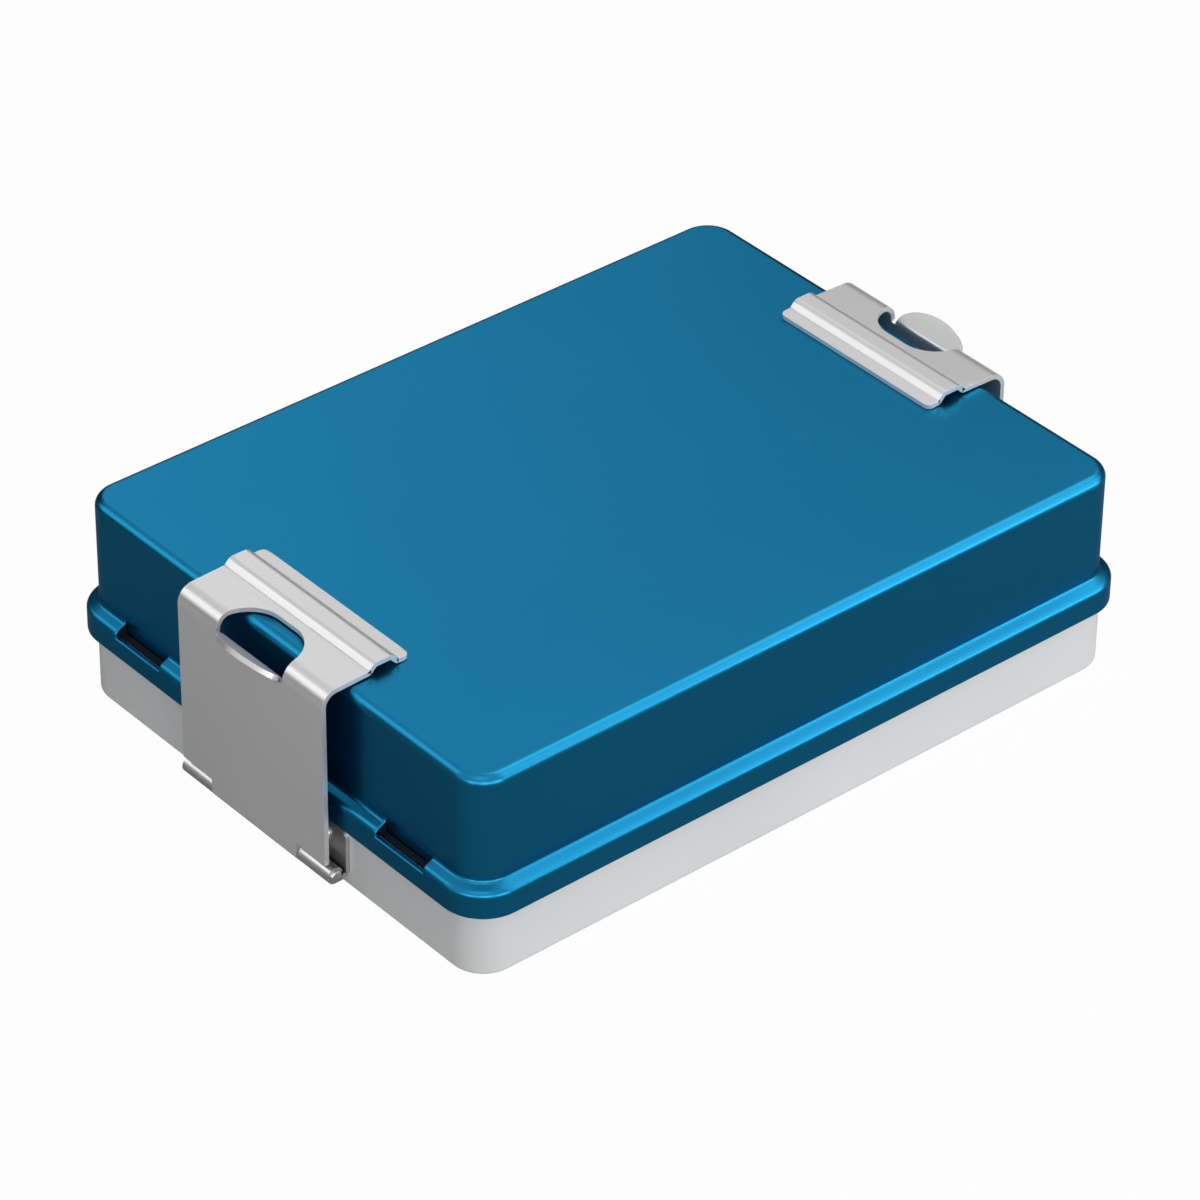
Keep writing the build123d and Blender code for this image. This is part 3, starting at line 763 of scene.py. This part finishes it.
@dataclass
class PerforatedPlate:
    """A flat block of square cells, each with a round hole or plain.

    Attributes:
        columns: Cells along X.
        rows: Cells along Y.
        pitch: Cell size.
        hole_radius: Radius of the holes.
        side_steps: Parts of each cell's side.
    """

    columns: int
    rows: int
    pitch: float
    hole_radius: float
    side_steps: int = 6

    def plan(self, corner_steps: int) -> RingPlan:
        """A ring plan whose points fall on the points of the block's border."""
        return RingPlan(np.linspace(-1, 1, self.columns * self.side_steps + 1),
                        np.linspace(-1, 1, self.rows * self.side_steps + 1), corner_steps)

    def add_to(self, surface: Surface, height: float, plain: list[tuple[float, float]]) -> None:
        """Adds the cells: a ring of faces from each cell's square to its circle, or a fan over the square.

        Args:
            surface: Where the faces go.
            height: The plate's height.
            plain: Places round which the cells have no hole.
        """
        side = np.linspace(-0.5, 0.5, self.side_steps + 1)[:-1] * self.pitch
        half = np.full_like(side, self.pitch / 2)
        square = np.vstack([np.column_stack(p) for p in
                            ((half, side), (-side, half), (-half, -side), (side, -half))])
        angle = np.arctan2(square[:, 1], square[:, 0])
        circle = self.hole_radius * np.column_stack((np.cos(angle), np.sin(angle)))
        x = (np.arange(self.columns) - (self.columns - 1) / 2) * self.pitch
        y = (np.arange(self.rows) - (self.rows - 1) / 2) * self.pitch
        middles = np.stack(np.meshgrid(x, y), axis=-1).reshape(-1, 2)
        spared = np.zeros(len(middles), bool)
        for place in plain:
            spared |= np.all(np.abs(middles - np.asarray(place)) <= self.pitch, axis=1)
        count = len(square)
        number = np.arange(count)
        after = np.roll(number, -1)
        ring = np.column_stack((number, after, after + count, number + count))
        fan = np.column_stack((number, after, np.full(count, count)))
        for cells, shape, faces in ((middles[~spared], np.vstack((square, circle)), ring),
                                    (middles[spared], np.vstack((square, [(0, 0)])), fan)):
            points = cells[:, None, :] + shape[None]
            lifted = np.concatenate((points, np.full((*points.shape[:2], 1), height)), axis=-1)
            starts = np.arange(len(cells))[:, None, None] * len(shape)
            surface.add(lifted, (faces[None] + starts).reshape(-1, faces.shape[1]))


@dataclass
class BasePan:
    """The drawn pan: walls, a rounded foot and a raised floor panel full of steam holes."""

    sheet: float = 1.2
    corner_radius: float = 8.6
    edge_radius: float = 1.2
    floor_margin: float = 20.5
    panel_rise: float = 2.0
    panel_radius: float = 6.0
    fold_radius: float = 0.6
    hole_diameter: float = 4.0
    hole_pitch: float = 9.0
    hole_border: float = 6.0
    stud_spacing: float = 90.0
    spare_row: float = 1.5
    bevel: float = 0.12

    def build(self) -> None:
        """Makes the pan from rings: each row is a rounded rectangle, drawn in and lowered by the profile."""
        low, high = (np.array(corner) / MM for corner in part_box("base_pan"))
        half_length, half_width, top = float(high[0]), float(high[1]), float(high[2])
        panel_x = half_length - self.sheet - self.floor_margin
        panel_y = half_width - self.sheet - self.floor_margin
        plate = PerforatedPlate(int((2 * panel_x - 2 * self.hole_border) / self.hole_pitch) + 1,
                                int((2 * panel_y - 2 * self.hole_border) / self.hole_pitch) + 1,
                                self.hole_pitch, self.hole_diameter / 2)
        plan = plate.plan(corner_steps=12)
        wall = np.vstack(([(0, top), (0, top - self.spare_row), (0, self.edge_radius + self.spare_row)],
                          arc((-self.edge_radius, self.edge_radius), self.edge_radius, 0, -90, 8)))
        fold = self.fold_radius
        step = np.vstack((arc((fold, fold), fold, 270, 180, 4),
                          arc((-fold, self.panel_rise - fold), fold, 0, 90, 4)))
        rings = [plan.ring(half_length + d, half_width + d, self.corner_radius + d) for d in wall[:, 0]]
        rings += [plan.ring(panel_x + d, panel_y + d, self.panel_radius + d) for d in step[:, 0]]
        rings.append(plan.ring(plate.columns * plate.pitch / 2, plate.rows * plate.pitch / 2, 0))
        heights = [*wall[:, 1], *step[:, 1], self.panel_rise]
        grid = np.stack([np.column_stack((r, np.full(len(r), z))) for r, z in zip(rings, heights)])
        surface = Surface()
        surface.add_grid(grid, closed=True)
        studs = [(-self.stud_spacing / 2, 0), (self.stud_spacing / 2, 0)]
        plate.add_to(surface, self.panel_rise, studs)
        pan = surface.make("base_skin", (0.0, 0.0, top))
        thicken(pan, self.sheet, self.bevel)
        settle(pan, "base", SILVER_ANODISED, "base_pan")


# ---------------------------------------------------------------- spring clips and hinges


@dataclass
class SpringClip:
    """A spring clip: rolled round its hinge pin, up the short wall and over the lid's edge.

    Shapes are worked out at the right end, on the sheet's inner face, and X is reversed at the left end.

    Attributes:
        end: Which end of the box it holds.
    """

    end: End
    sheet: float = 1.2
    half_width: float = 26.0
    tongue_half: float = 15.5
    window_top: float = 8.1
    hinge: tuple[float, float] = (99.35, 4.8)
    roll_radius: float = 0.95
    plate_x: float = 100.3
    bend_z: float = 53.6
    corners: tuple[tuple[float, float], ...] = (
        (87.8, 54.0), (86.3, 55.6), (82.4, 55.6), (80.7, 53.8), (77.0, 53.6))
    radii: tuple[float, ...] = (3.0, 1.8, 0.96, 0.96, 1.8)
    bend_steps: int = 10
    hole_end: float = 90.6
    hole_half: float = 12.0
    hole_corner: float = 9.0
    notch_floor: float = 49.7
    notch_radius: float = 0.7
    tab_half: float = 10.5
    tab_length: float = 5.4
    tab_stretch: float = 6.23
    tab_angle: float = 36.0
    tab_foot: tuple[float, float] = (100.3, 50.511)
    tab_bend: float = 1.55
    lip_corner: float = 1.6
    bevel: float = 0.3

    def line(self) -> np.ndarray:
        """The inner face seen from the side, from the hinge's height to the lip, as rows of (x, z)."""
        start = (self.plate_x, self.hinge[1])
        corners = [start, (self.plate_x, self.bend_z), *self.corners]
        return filleted_line(corners, list(self.radii), self.bend_steps)

    def hole_width(self, x: np.ndarray) -> np.ndarray:
        """Half-width of the finger hole at X: its corners are arcs in plan, and its end is straight."""
        corner = self.hole_corner
        depth = np.clip(x - self.hole_end, 0, corner)
        return self.hole_half - corner + np.sqrt(corner ** 2 - (corner - depth) ** 2)

    def columns(self) -> tuple[np.ndarray, np.ndarray, np.ndarray]:
        """Places across the clip: tab half, notch as (y, z), and shares of the strip beside the hole.

        Returns:
            The places on the tab, the points of the notch and the shares from 0 to 1.
        """
        turn = np.radians(np.linspace(0, 90, 5))
        start = self.hole_half - self.notch_radius
        bottom = self.notch_floor + self.notch_radius
        notch = np.column_stack((start + self.notch_radius * np.sin(turn),
                                 bottom - self.notch_radius * np.cos(turn)))
        notch = np.vstack(((self.tab_half + start) / 2 * np.array([1, 0]) + (0, self.notch_floor), notch))
        mark = (self.tongue_half - self.hole_half) / (self.half_width - self.hole_half)
        return np.linspace(0, self.tab_half, 8), notch, stops(0, mark, 1, step=0.13)

    def add_plate(self, surface: Surface) -> None:
        """The plate below the hole, with its tongue rolled round the pin and a window at each side.

        Rows follow the roll's arc and then rise up the plate, and the last row follows the notch. The columns
        are spread evenly below it, so that none is narrow.

        Args:
            surface: Where the faces go.
        """
        tab, notch, shares = self.columns()
        strip = self.hole_half + shares * (self.half_width - self.hole_half)
        half = np.concatenate((tab, notch[:-1, 0], strip))
        last = np.concatenate((np.full(len(tab), self.notch_floor), notch[:-1, 1],
                               np.full(len(strip), notch[-1, 1])))
        even = half.copy()
        end = int(np.argmax(half > self.tongue_half - ALMOST))
        even[len(tab):end + 1] = np.linspace(self.tab_half, self.tongue_half, end - len(tab) + 2)[1:]
        across, edge = (np.concatenate((-part[:0:-1], part)) for part in (even, half))
        last = np.concatenate((last[:0:-1], last))
        roll = arc(self.hinge, self.roll_radius, -292, 0, 24)
        rise = stops(self.window_top, self.notch_floor - 1.2, step=7.0)
        side = np.vstack((roll, np.column_stack((np.full(len(rise), self.plate_x), rise))))
        x = np.repeat(side[:, :1], len(across), axis=1)
        z = np.repeat(side[:, 1:], len(across), axis=1)
        grid = np.stack((x, np.broadcast_to(across, x.shape), z), axis=-1)
        top = np.column_stack((np.full(len(edge), self.plate_x), edge, last))
        grid = np.concatenate((grid, top[None]))
        middle = np.abs(across[:-1] + across[1:]) / 2
        keep = (np.arange(len(grid) - 1) >= len(roll))[:, None] | (middle < self.tongue_half)[None]
        self.place(surface, grid, keep)

    def add_tab(self, surface: Surface) -> None:
        """The thumb tab: bent out of the plate and rounded off as half an ellipse.

        Past the bend, with u across and v along from 0 to 1, a point lies v times the root of 1 - u^2 / 2
        of the length along the tab, and u times the root of 1 - v^2 / 2 of the half-width across it.

        Args:
            surface: Where the faces go.
        """
        tilt = math.radians(self.tab_angle)
        way = np.array([math.cos(tilt), math.sin(tilt)])
        foot = np.asarray(self.tab_foot)
        tip = foot + way * self.tab_stretch
        path = filleted_line([(self.plate_x, self.notch_floor), tuple(foot), tuple(tip)], [self.tab_bend], 6)
        root = tip - way * self.tab_length
        u, v = np.meshgrid(np.linspace(-1, 1, 15), np.linspace(0, 1, 9))
        reach = self.tab_length * v * np.sqrt(1 - u ** 2 / 2)
        blade = np.stack((root[0] + way[0] * reach, self.tab_half * u * np.sqrt(1 - v ** 2 / 2),
                          root[1] + way[1] * reach), axis=-1)
        bend = path[:-1]
        x, z = (np.repeat(bend[:, i:i + 1], 15, axis=1) for i in (0, 1))
        fold = np.stack((x, np.broadcast_to(self.tab_half * u[0], x.shape), z), axis=-1)
        self.place(surface, np.concatenate((fold, blade)))

    def add_hook(self, surface: Surface) -> None:
        """The strips beside the hole and the bends over the lid, out to the rounded lip.

        A point lies at its row's distance along the bent line, and across it at the hole's half-width plus a
        share of the strip beside the hole. Rows follow the hole's arc, and later the lip's corner arc.

        Args:
            surface: Where the faces go.
        """
        _, notch, shares = self.columns()
        line = self.line()
        reach = run_length(line)
        flange = line[:, 0] < self.plate_x - ALMOST
        first = reach[np.argmax(flange) - 1]
        bend_end = line[np.argmax(flange) + self.bend_steps - 1, 0]
        angle = math.acos(1 - (bend_end - self.hole_end) / self.hole_corner)
        along_hole = self.hole_end + self.hole_corner * (1 - np.cos(np.linspace(angle, 0, 16)))

        def to_reach(x: np.ndarray) -> np.ndarray:
            """Distance along the line of the flange's points at X."""
            return np.interp(-x, -line[flange][:, 0], reach[flange])

        low = stops(notch[-1, 1] - self.hinge[1], first, step=0.18)
        bend = reach[(reach > first + ALMOST) & (line[:, 0] > bend_end + ALMOST)]
        places = np.concatenate((low, bend, to_reach(along_hole)))
        rows = along(line, places)
        half = self.hole_width(rows[:, 0])
        beyond = reach[(reach > places[-1] + 0.05) & (line[:, 0] > self.corners[-1][0] + self.lip_corner)]
        fill = np.linspace(places[-1], reach[-1], 24)[1:-1]
        ends = self.corners[-1][0] + self.lip_corner * (1 - np.sin(np.radians(np.linspace(0, 90, 9))))
        fill = fill[fill < to_reach(ends[:1])[0] - 0.2]
        later = np.unique(np.round(np.concatenate((beyond, fill, to_reach(ends))), 4))
        lip = along(line, later)
        short = np.clip(self.corners[-1][0] + self.lip_corner - lip[:, 0], 0, self.lip_corner)
        width = self.half_width - self.lip_corner + np.sqrt(self.lip_corner ** 2 - short ** 2)
        inner = np.vstack((rows[-1:], lip))
        rows, half = np.vstack((rows, lip)), np.concatenate((half, np.full(len(lip), half[-1])))
        width = np.concatenate((np.full(len(rows) - len(lip), self.half_width), width))
        x = np.repeat(rows[:, :1], len(shares), axis=1)
        z = np.repeat(rows[:, 1:], len(shares), axis=1)
        across = half[:, None] + shares * (width - half)[:, None]
        for side in (-1, 1):
            self.place(surface, np.stack((x, side * across, z), axis=-1))
        middle = np.broadcast_to(np.linspace(-half[-1], half[-1], 5), (len(inner), 5))
        x, z = (np.repeat(inner[:, i:i + 1], 5, axis=1) for i in (0, 1))
        self.place(surface, np.stack((x, middle, z), axis=-1))

    def place(self, surface: Surface, grid: np.ndarray, keep: np.ndarray | None = None) -> None:
        """Adds a grid of the right clip at this clip's end."""
        surface.add_grid(grid * (self.end.value, 1, 1), keep=keep)

    def build(self) -> None:
        """Makes the clip as one sheet, thickened outwards."""
        surface = Surface()
        self.add_plate(surface)
        self.add_tab(surface)
        self.add_hook(surface)
        clip = surface.make(f"clip_spring_{self.end.label}", (0.0, 0.0, 30.0))
        thicken(clip, self.sheet, self.bevel, side=1)
        settle(clip, f"clip_{self.end.label}", SPRING_STEEL, f"clip_{self.end.label}")


@dataclass
class ClipHinge:
    """What carries a clip: a riveted bracket whose two knuckles hold the headed pin.

    Attributes:
        end: Which end of the box it is on.
    """

    end: End
    sheet: float = 1.2
    wall_x: float = 95.6
    half_width: float = 27.5
    top: float = 16.0
    hinge: tuple[float, float] = (99.35, 4.8)
    knuckle_radius: float = 2.1
    knuckle_inner: float = 15.8
    knuckle_outer: float = 26.8
    notch_top: float = 7.25
    fold_radius: float = 1.8
    corner_radius: float = 2.0
    pin_radius: float = 0.9
    head_radius: float = 1.5
    head_height: float = 0.7
    rivet_places: tuple[tuple[float, float], ...] = ((-20.0, 12.0), (20.0, 12.0))
    rivet_radius: float = 2.4
    rivet_height: float = 0.9
    wall_sheet: float = 1.2
    tail_height: float = 0.6
    shank_radius: float = 1.2
    head_edge: float = 0.45
    dome_edge: float = 0.7
    tail_edge: float = 0.2
    crown: float = 0.14
    turned_bevel: float = 0.05
    sheet_bevel: float = 0.12

    def bracket(self) -> None:
        """The bracket: down the wall, out below the pin and round it, open between the knuckles.

        A point is its column's place across, held within the half-width less the corner's inset, at the
        height and reach of its row.
        """
        x, z = self.hinge
        low = z - self.knuckle_radius
        corners = [(self.wall_x, self.notch_top), (self.wall_x, low), (x, low)]
        leg = filleted_line(corners, [self.fold_radius], 6)
        turn = np.radians(np.linspace(0, 90, 6))
        rise = self.top - self.corner_radius * (1 - np.cos(turn))
        wall = np.column_stack((np.full(8, self.wall_x),
                                np.concatenate((rise, [10.0, self.notch_top + 0.01]))))
        rows = np.vstack((wall, leg, arc(self.hinge, self.knuckle_radius, -90, 168, 20)[1:]))
        inset = np.zeros(len(rows))
        inset[:6] = self.corner_radius * (1 - np.sin(turn))
        inner = np.linspace(-self.knuckle_inner, self.knuckle_inner, 7)
        outer = np.linspace(self.knuckle_inner, self.knuckle_outer, 4)[1:]
        across = np.concatenate((-outer[::-1], inner, outer))
        across = np.concatenate(([-self.half_width], across, [self.half_width]))
        width = np.repeat(across[None], len(rows), axis=0)
        limit = (self.half_width - inset)[:, None]
        width = np.clip(width, -limit, limit)
        grid = np.stack((np.broadcast_to(rows[:, :1], width.shape), width,
                         np.broadcast_to(rows[:, 1:], width.shape)), axis=-1)
        middle = np.abs(across[:-1] + across[1:]) / 2
        upper = (rows[:-1, 1] > self.notch_top) & (rows[:-1, 0] < self.wall_x + ALMOST)
        straight = rows[1:, 0] < self.wall_x + ALMOST
        keep = upper[:, None] | ((middle > self.knuckle_inner) & (middle < self.knuckle_outer))[None]
        keep |= straight[:, None] & (middle > self.knuckle_outer)[None]
        surface = Surface()
        surface.add_grid(grid * (self.end.value, 1, 1), keep=keep)
        piece = surface.make(f"bracket_{self.end.label}", (self.end.value * x, 0.0, z))
        thicken(piece, self.sheet, self.sheet_bevel)
        settle(piece, "base", STAINLESS, f"hinge_bracket_{self.end.label}")

    def pin(self) -> None:
        """The pin: a turned rod with a low rounded head at each end."""
        x, z = self.end.value * self.hinge[0], self.hinge[1]
        face = self.knuckle_outer + self.head_height
        edge = arc((self.head_radius - self.head_edge, face - self.head_edge), self.head_edge, 0, 90, 5)
        half = np.vstack(([(self.pin_radius, 0), (self.pin_radius, self.knuckle_outer),
                           (self.head_radius, self.knuckle_outer)], edge, [(0.0, face)]))
        profile = np.vstack((half[:0:-1] * (1, -1), half))
        piece = lathe(profile, (x, 0.0, z), "y").make(f"pin_{self.end.label}", (x, 0.0, z))
        soften(piece, self.turned_bevel)
        settle(piece, "base", STAINLESS, f"hinge_pin_{self.end.label}")

    def rivets(self) -> None:
        """The two rivets: domed heads outside the bracket and flat tails inside the pan."""
        grip, radius, height = self.sheet + self.wall_sheet, self.rivet_radius, self.rivet_height
        tail = -grip - self.tail_height
        dome = arc((radius - self.dome_edge, height - self.dome_edge), self.dome_edge, 0, 90, 6)
        shank = self.shank_radius
        profile = np.vstack(([(0.0, tail), (radius - self.tail_edge, tail), (radius, tail + self.tail_edge),
                              (radius, -grip), (shank, -grip), (shank, 0.0), (radius, 0.0)],
                             dome, [(radius * 0.3, height + self.crown - 0.02), (0.0, height + self.crown)]))
        surface = Surface()
        sign = self.end.value
        for y, z in self.rivet_places:
            part = lathe(profile * (1, sign), (sign * (self.wall_x + self.sheet), y, z), "x")
            surface.add(part.points[0], part.faces[0])
        piece = surface.make(f"rivets_{self.end.label}", (sign * self.wall_x, 0.0, self.rivet_places[0][1]))
        soften(piece, self.turned_bevel)
        settle(piece, "base", STAINLESS, f"bracket_rivets_{self.end.label}")

    def build(self) -> None:
        """Makes the bracket, its rivets and the pin."""
        self.bracket()
        self.rivets()
        self.pin()


# ---------------------------------------------------------------- studio


def seen_share(tree: bpy.types.NodeTree, in_view: float, in_gloss: float) -> bpy.types.NodeSocket:
    """How much of the white background a ray sees.

    Args:
        tree: The node tree of the floor or the world.
        in_view: The share for rays from the camera.
        in_gloss: The share for mirrored rays and rays through glass.

    Returns:
        The socket with the share.
    """
    path = add_node(tree, "ShaderNodeLightPath")
    bent = math_node(tree, "MAXIMUM", path.outputs["Is Glossy Ray"], path.outputs["Is Transmission Ray"])
    seen = math_node(tree, "MULTIPLY", path.outputs["Is Camera Ray"], in_view)
    return math_node(tree, "MAXIMUM", seen, math_node(tree, "MULTIPLY", bent, in_gloss))


def add_glow(tree: bpy.types.NodeTree, base: bpy.types.NodeSocket, glow: bpy.types.NodeSocket,
             target: bpy.types.NodeSocket, shares: tuple[float, float]) -> None:
    """Mixes a glow into a floor or a world, for the rays that see the background.

    Args:
        tree: The node tree.
        base: The plain shader's output.
        glow: The glowing shader's output.
        target: The output node's input.
        shares: The glow's share for rays from the camera, and for mirrored rays and rays through glass.
    """
    mix = add_node(tree, "ShaderNodeMixShader")
    tree.links.new(seen_share(tree, *shares), mix.inputs[0])
    tree.links.new(base, mix.inputs[1])
    tree.links.new(glow, mix.inputs[2])
    tree.links.new(mix.outputs[0], target)


SOFT_BOXES = (
    ("front_box", -46.6, 39.3, (0.55, 0.55), 1.75),
    ("high_box", 4.3, 57.9, (0.6, 0.6), 2.0),
    ("back_box", 133.0, 32.0, (0.45, 0.45), 1.3),
    ("behind_box", 66.0, 34.0, (0.24, 0.3), 0.5),
    ("over_box", 220.6, 56.0, (0.5, 0.5), 1.0),
    ("right_lamp", -22.4, 26.0, (0.3, 0.3), 2.5),
    ("low_left_lamp", 203.0, 8.0, (0.45, 0.22), 3.8),
    ("low_near_lamp", 235.0, 8.0, (0.45, 0.22), 5.0),
    ("low_front_lamp", 268.0, 8.0, (0.45, 0.22), 5.6),
    ("low_right_lamp", 312.0, 11.0, (0.5, 0.3), 4.5),
)
"""Each lamp's name, turn, lift, size and brightness, as soft_box takes them."""
DARK_CARDS = (
    ("right_card", (-30, 44), (0.5, 34)),
    ("low_card", (44, 150), (0.5, 15)),
    ("back_card", (76, 108), (15, 40)),
)
"""Each card's name, turn and lift, as dark_card takes them."""


@dataclass
class Studio:
    """Pale floor, soft lamps and the camera."""

    camera_place: tuple[float, float, float] = (-0.70762, -0.82805, 0.79627)
    azimuth: float = -40.499
    elevation: float = 35.475
    roll: float = 0.68
    lens: float = 173.3
    target: tuple[float, float, float] = (0, 0, 0.04)
    card_reach: float = 1600.0
    floor_colour: tuple[float, float, float] = (0.48, 0.48, 0.48)
    floor_shares: tuple[float, float] = (0.975, 0.03)
    floor_reach: float = 6.0
    floor_gap: float = 0.05

    def camera(self) -> None:
        """Places the camera by its turn round the object, its height above the horizon and its roll."""
        turn, lift, roll = map(math.radians, (self.azimuth, self.elevation, self.roll))
        back = np.array((math.sin(turn) * math.cos(lift), -math.cos(turn) * math.cos(lift), math.sin(lift)))
        right = np.cross(-back, (0, 0, 1))
        right /= np.linalg.norm(right)
        up = np.cross(right, -back)
        rolled = right * math.cos(roll) + up * math.sin(roll)
        risen = -right * math.sin(roll) + up * math.cos(roll)
        matrix = np.eye(4)
        matrix[:3, 0], matrix[:3, 1], matrix[:3, 2], matrix[:3, 3] = rolled, risen, back, self.camera_place
        data = bpy.data.cameras.new("camera")
        data.lens = self.lens
        data.clip_start, data.clip_end = 0.05, 50.0
        camera = show(bpy.data.objects.new("camera", data))
        camera.matrix_world = matrix.T.tolist()
        bpy.context.scene.camera = camera

    def soft_box(self, name: str, turn: float, lift: float, size: tuple[float, float], brightness: float) -> None:
        """Adds a soft rectangular lamp that faces the box from a metre away.

        Its power is pi times its area times its brightness.

        Args:
            name: The lamp's name.
            turn: Where it stands round the box, in degrees from +X.
            lift: Its height above the horizon, in degrees.
            size: Its two sides in metres.
            brightness: How bright its face is, where 1 is a white card in full light.
        """
        data = bpy.data.lights.new(name, "AREA")
        data.shape = "RECTANGLE"
        data.size, data.size_y = size
        data.energy = math.pi * size[0] * size[1] * brightness
        turn, lift = math.radians(turn), math.radians(lift)
        way = Vector((math.cos(turn) * math.cos(lift), math.sin(turn) * math.cos(lift), math.sin(lift)))
        lamp = show(bpy.data.objects.new(name, data))
        lamp.location = Vector(self.target) + way
        lamp.rotation_euler = (-way).to_track_quat("-Z", "Y").to_euler()
        lamp.visible_camera = False

    def dark_card(self, name: str, turn: tuple[float, float], lift: tuple[float, float]) -> None:
        """Adds a dark curved card far behind the lamps, seen only in the metal.

        A point is the reach times (cosine, sine) of its turn, at the reach times the tangent of its lift.

        Args:
            name: The card's name.
            turn: Where it starts and ends round the object, in degrees from +X.
            lift: Its lower and upper edge above the horizon, in degrees.
        """
        reach = self.card_reach
        angle, rise = np.radians(np.linspace(*turn, 24)), np.tan(np.radians(np.linspace(*lift, 4)))
        grid = np.stack((*(np.broadcast_to(reach * f(angle), (4, 24)) for f in (np.cos, np.sin)),
                         np.broadcast_to(reach * rise[:, None], (4, 24))), axis=-1)
        surface = Surface()
        surface.add_grid(grid)
        card = surface.make(name, (0.0, 0.0, 0.0))
        material = bpy.data.materials.new(f"{name}_cloth")
        material.use_nodes = True
        shader = material.node_tree.nodes["Principled BSDF"]
        shader.inputs["Base Color"].default_value = (0.02, 0.02, 0.02, 1)
        shader.inputs["Roughness"].default_value = 1.0
        card.data.materials.append(material)
        card.visible_camera = card.visible_shadow = card.visible_diffuse = False

    def world(self, fill: float) -> None:
        """An even world: white in the view and in reflections, dimmer as light on the object.

        Args:
            fill: The world's strength as light on the object.
        """
        world = bpy.data.worlds.new("studio")
        bpy.context.scene.world = world
        world.use_nodes = True
        tree = world.node_tree
        light = tree.nodes["Background"]
        light.inputs["Color"].default_value = (1, 1, 1, 1)
        light.inputs["Strength"].default_value = fill
        seen = add_node(tree, "ShaderNodeBackground", Color=(1, 1, 1, 1), Strength=1.0)
        add_glow(tree, light.outputs[0], seen.outputs[0], tree.nodes["World Output"].inputs["Surface"], (1.0, 1.0))

    def floor(self) -> None:
        """A wide pale floor that looks near white to the camera and is mirrored as it is lit."""
        mesh = bpy.data.meshes.new("floor")
        reach, level = self.floor_reach, -self.floor_gap * MM
        corners = [(x * reach, y * reach, level) for x, y in ((-1, -1), (1, -1), (1, 1), (-1, 1))]
        mesh.from_pydata(corners, [], [(0, 1, 2, 3)])
        floor = show(bpy.data.objects.new("floor", mesh))
        material = bpy.data.materials.new("pale_floor")
        material.use_nodes = True
        tree = material.node_tree
        shader = tree.nodes["Principled BSDF"]
        shader.inputs["Base Color"].default_value = (*self.floor_colour, 1)
        shader.inputs["Roughness"].default_value = 0.9
        shader.inputs["Specular IOR Level"].default_value = 0.1
        glow = add_node(tree, "ShaderNodeEmission", Color=(1, 1, 1, 1), Strength=1.0)
        add_glow(tree, shader.outputs[0], glow.outputs[0], tree.nodes["Material Output"].inputs["Surface"],
                 self.floor_shares)
        mesh.materials.append(material)

    def build(self) -> None:
        """Sets up the view, the floor, the world and the lamps."""
        self.camera()
        self.floor()
        self.world(fill=0.09)
        for lamp in SOFT_BOXES:
            self.soft_box(*lamp)
        for card in DARK_CARDS:
            self.dark_card(*card)
        bpy.context.scene.view_settings.view_transform = "Standard"


def dress_nodes() -> None:
    """Gives every CAD node the finish of its slot in the record."""
    slots = {row["node"]: row["material_slot"] for row in frame["record"]["subparts"]}
    for node, piece in frame["nodes"].items():
        NODE_FINISHES[slots[node]].dress(piece)
        LOG.info("%s: %s", node, slots[node])


def main() -> None:
    """Builds the scene in order: studio, nodes, lid, base, and the clip and hinge at each end."""
    logging.basicConfig(level=logging.INFO, format="%(name)s %(message)s")
    Studio().build()
    dress_nodes()
    Lid().build()
    BasePan().build()
    for end in End:
        SpringClip(end).build()
        ClipHinge(end).build()


if __name__ == "__main__":
    main()
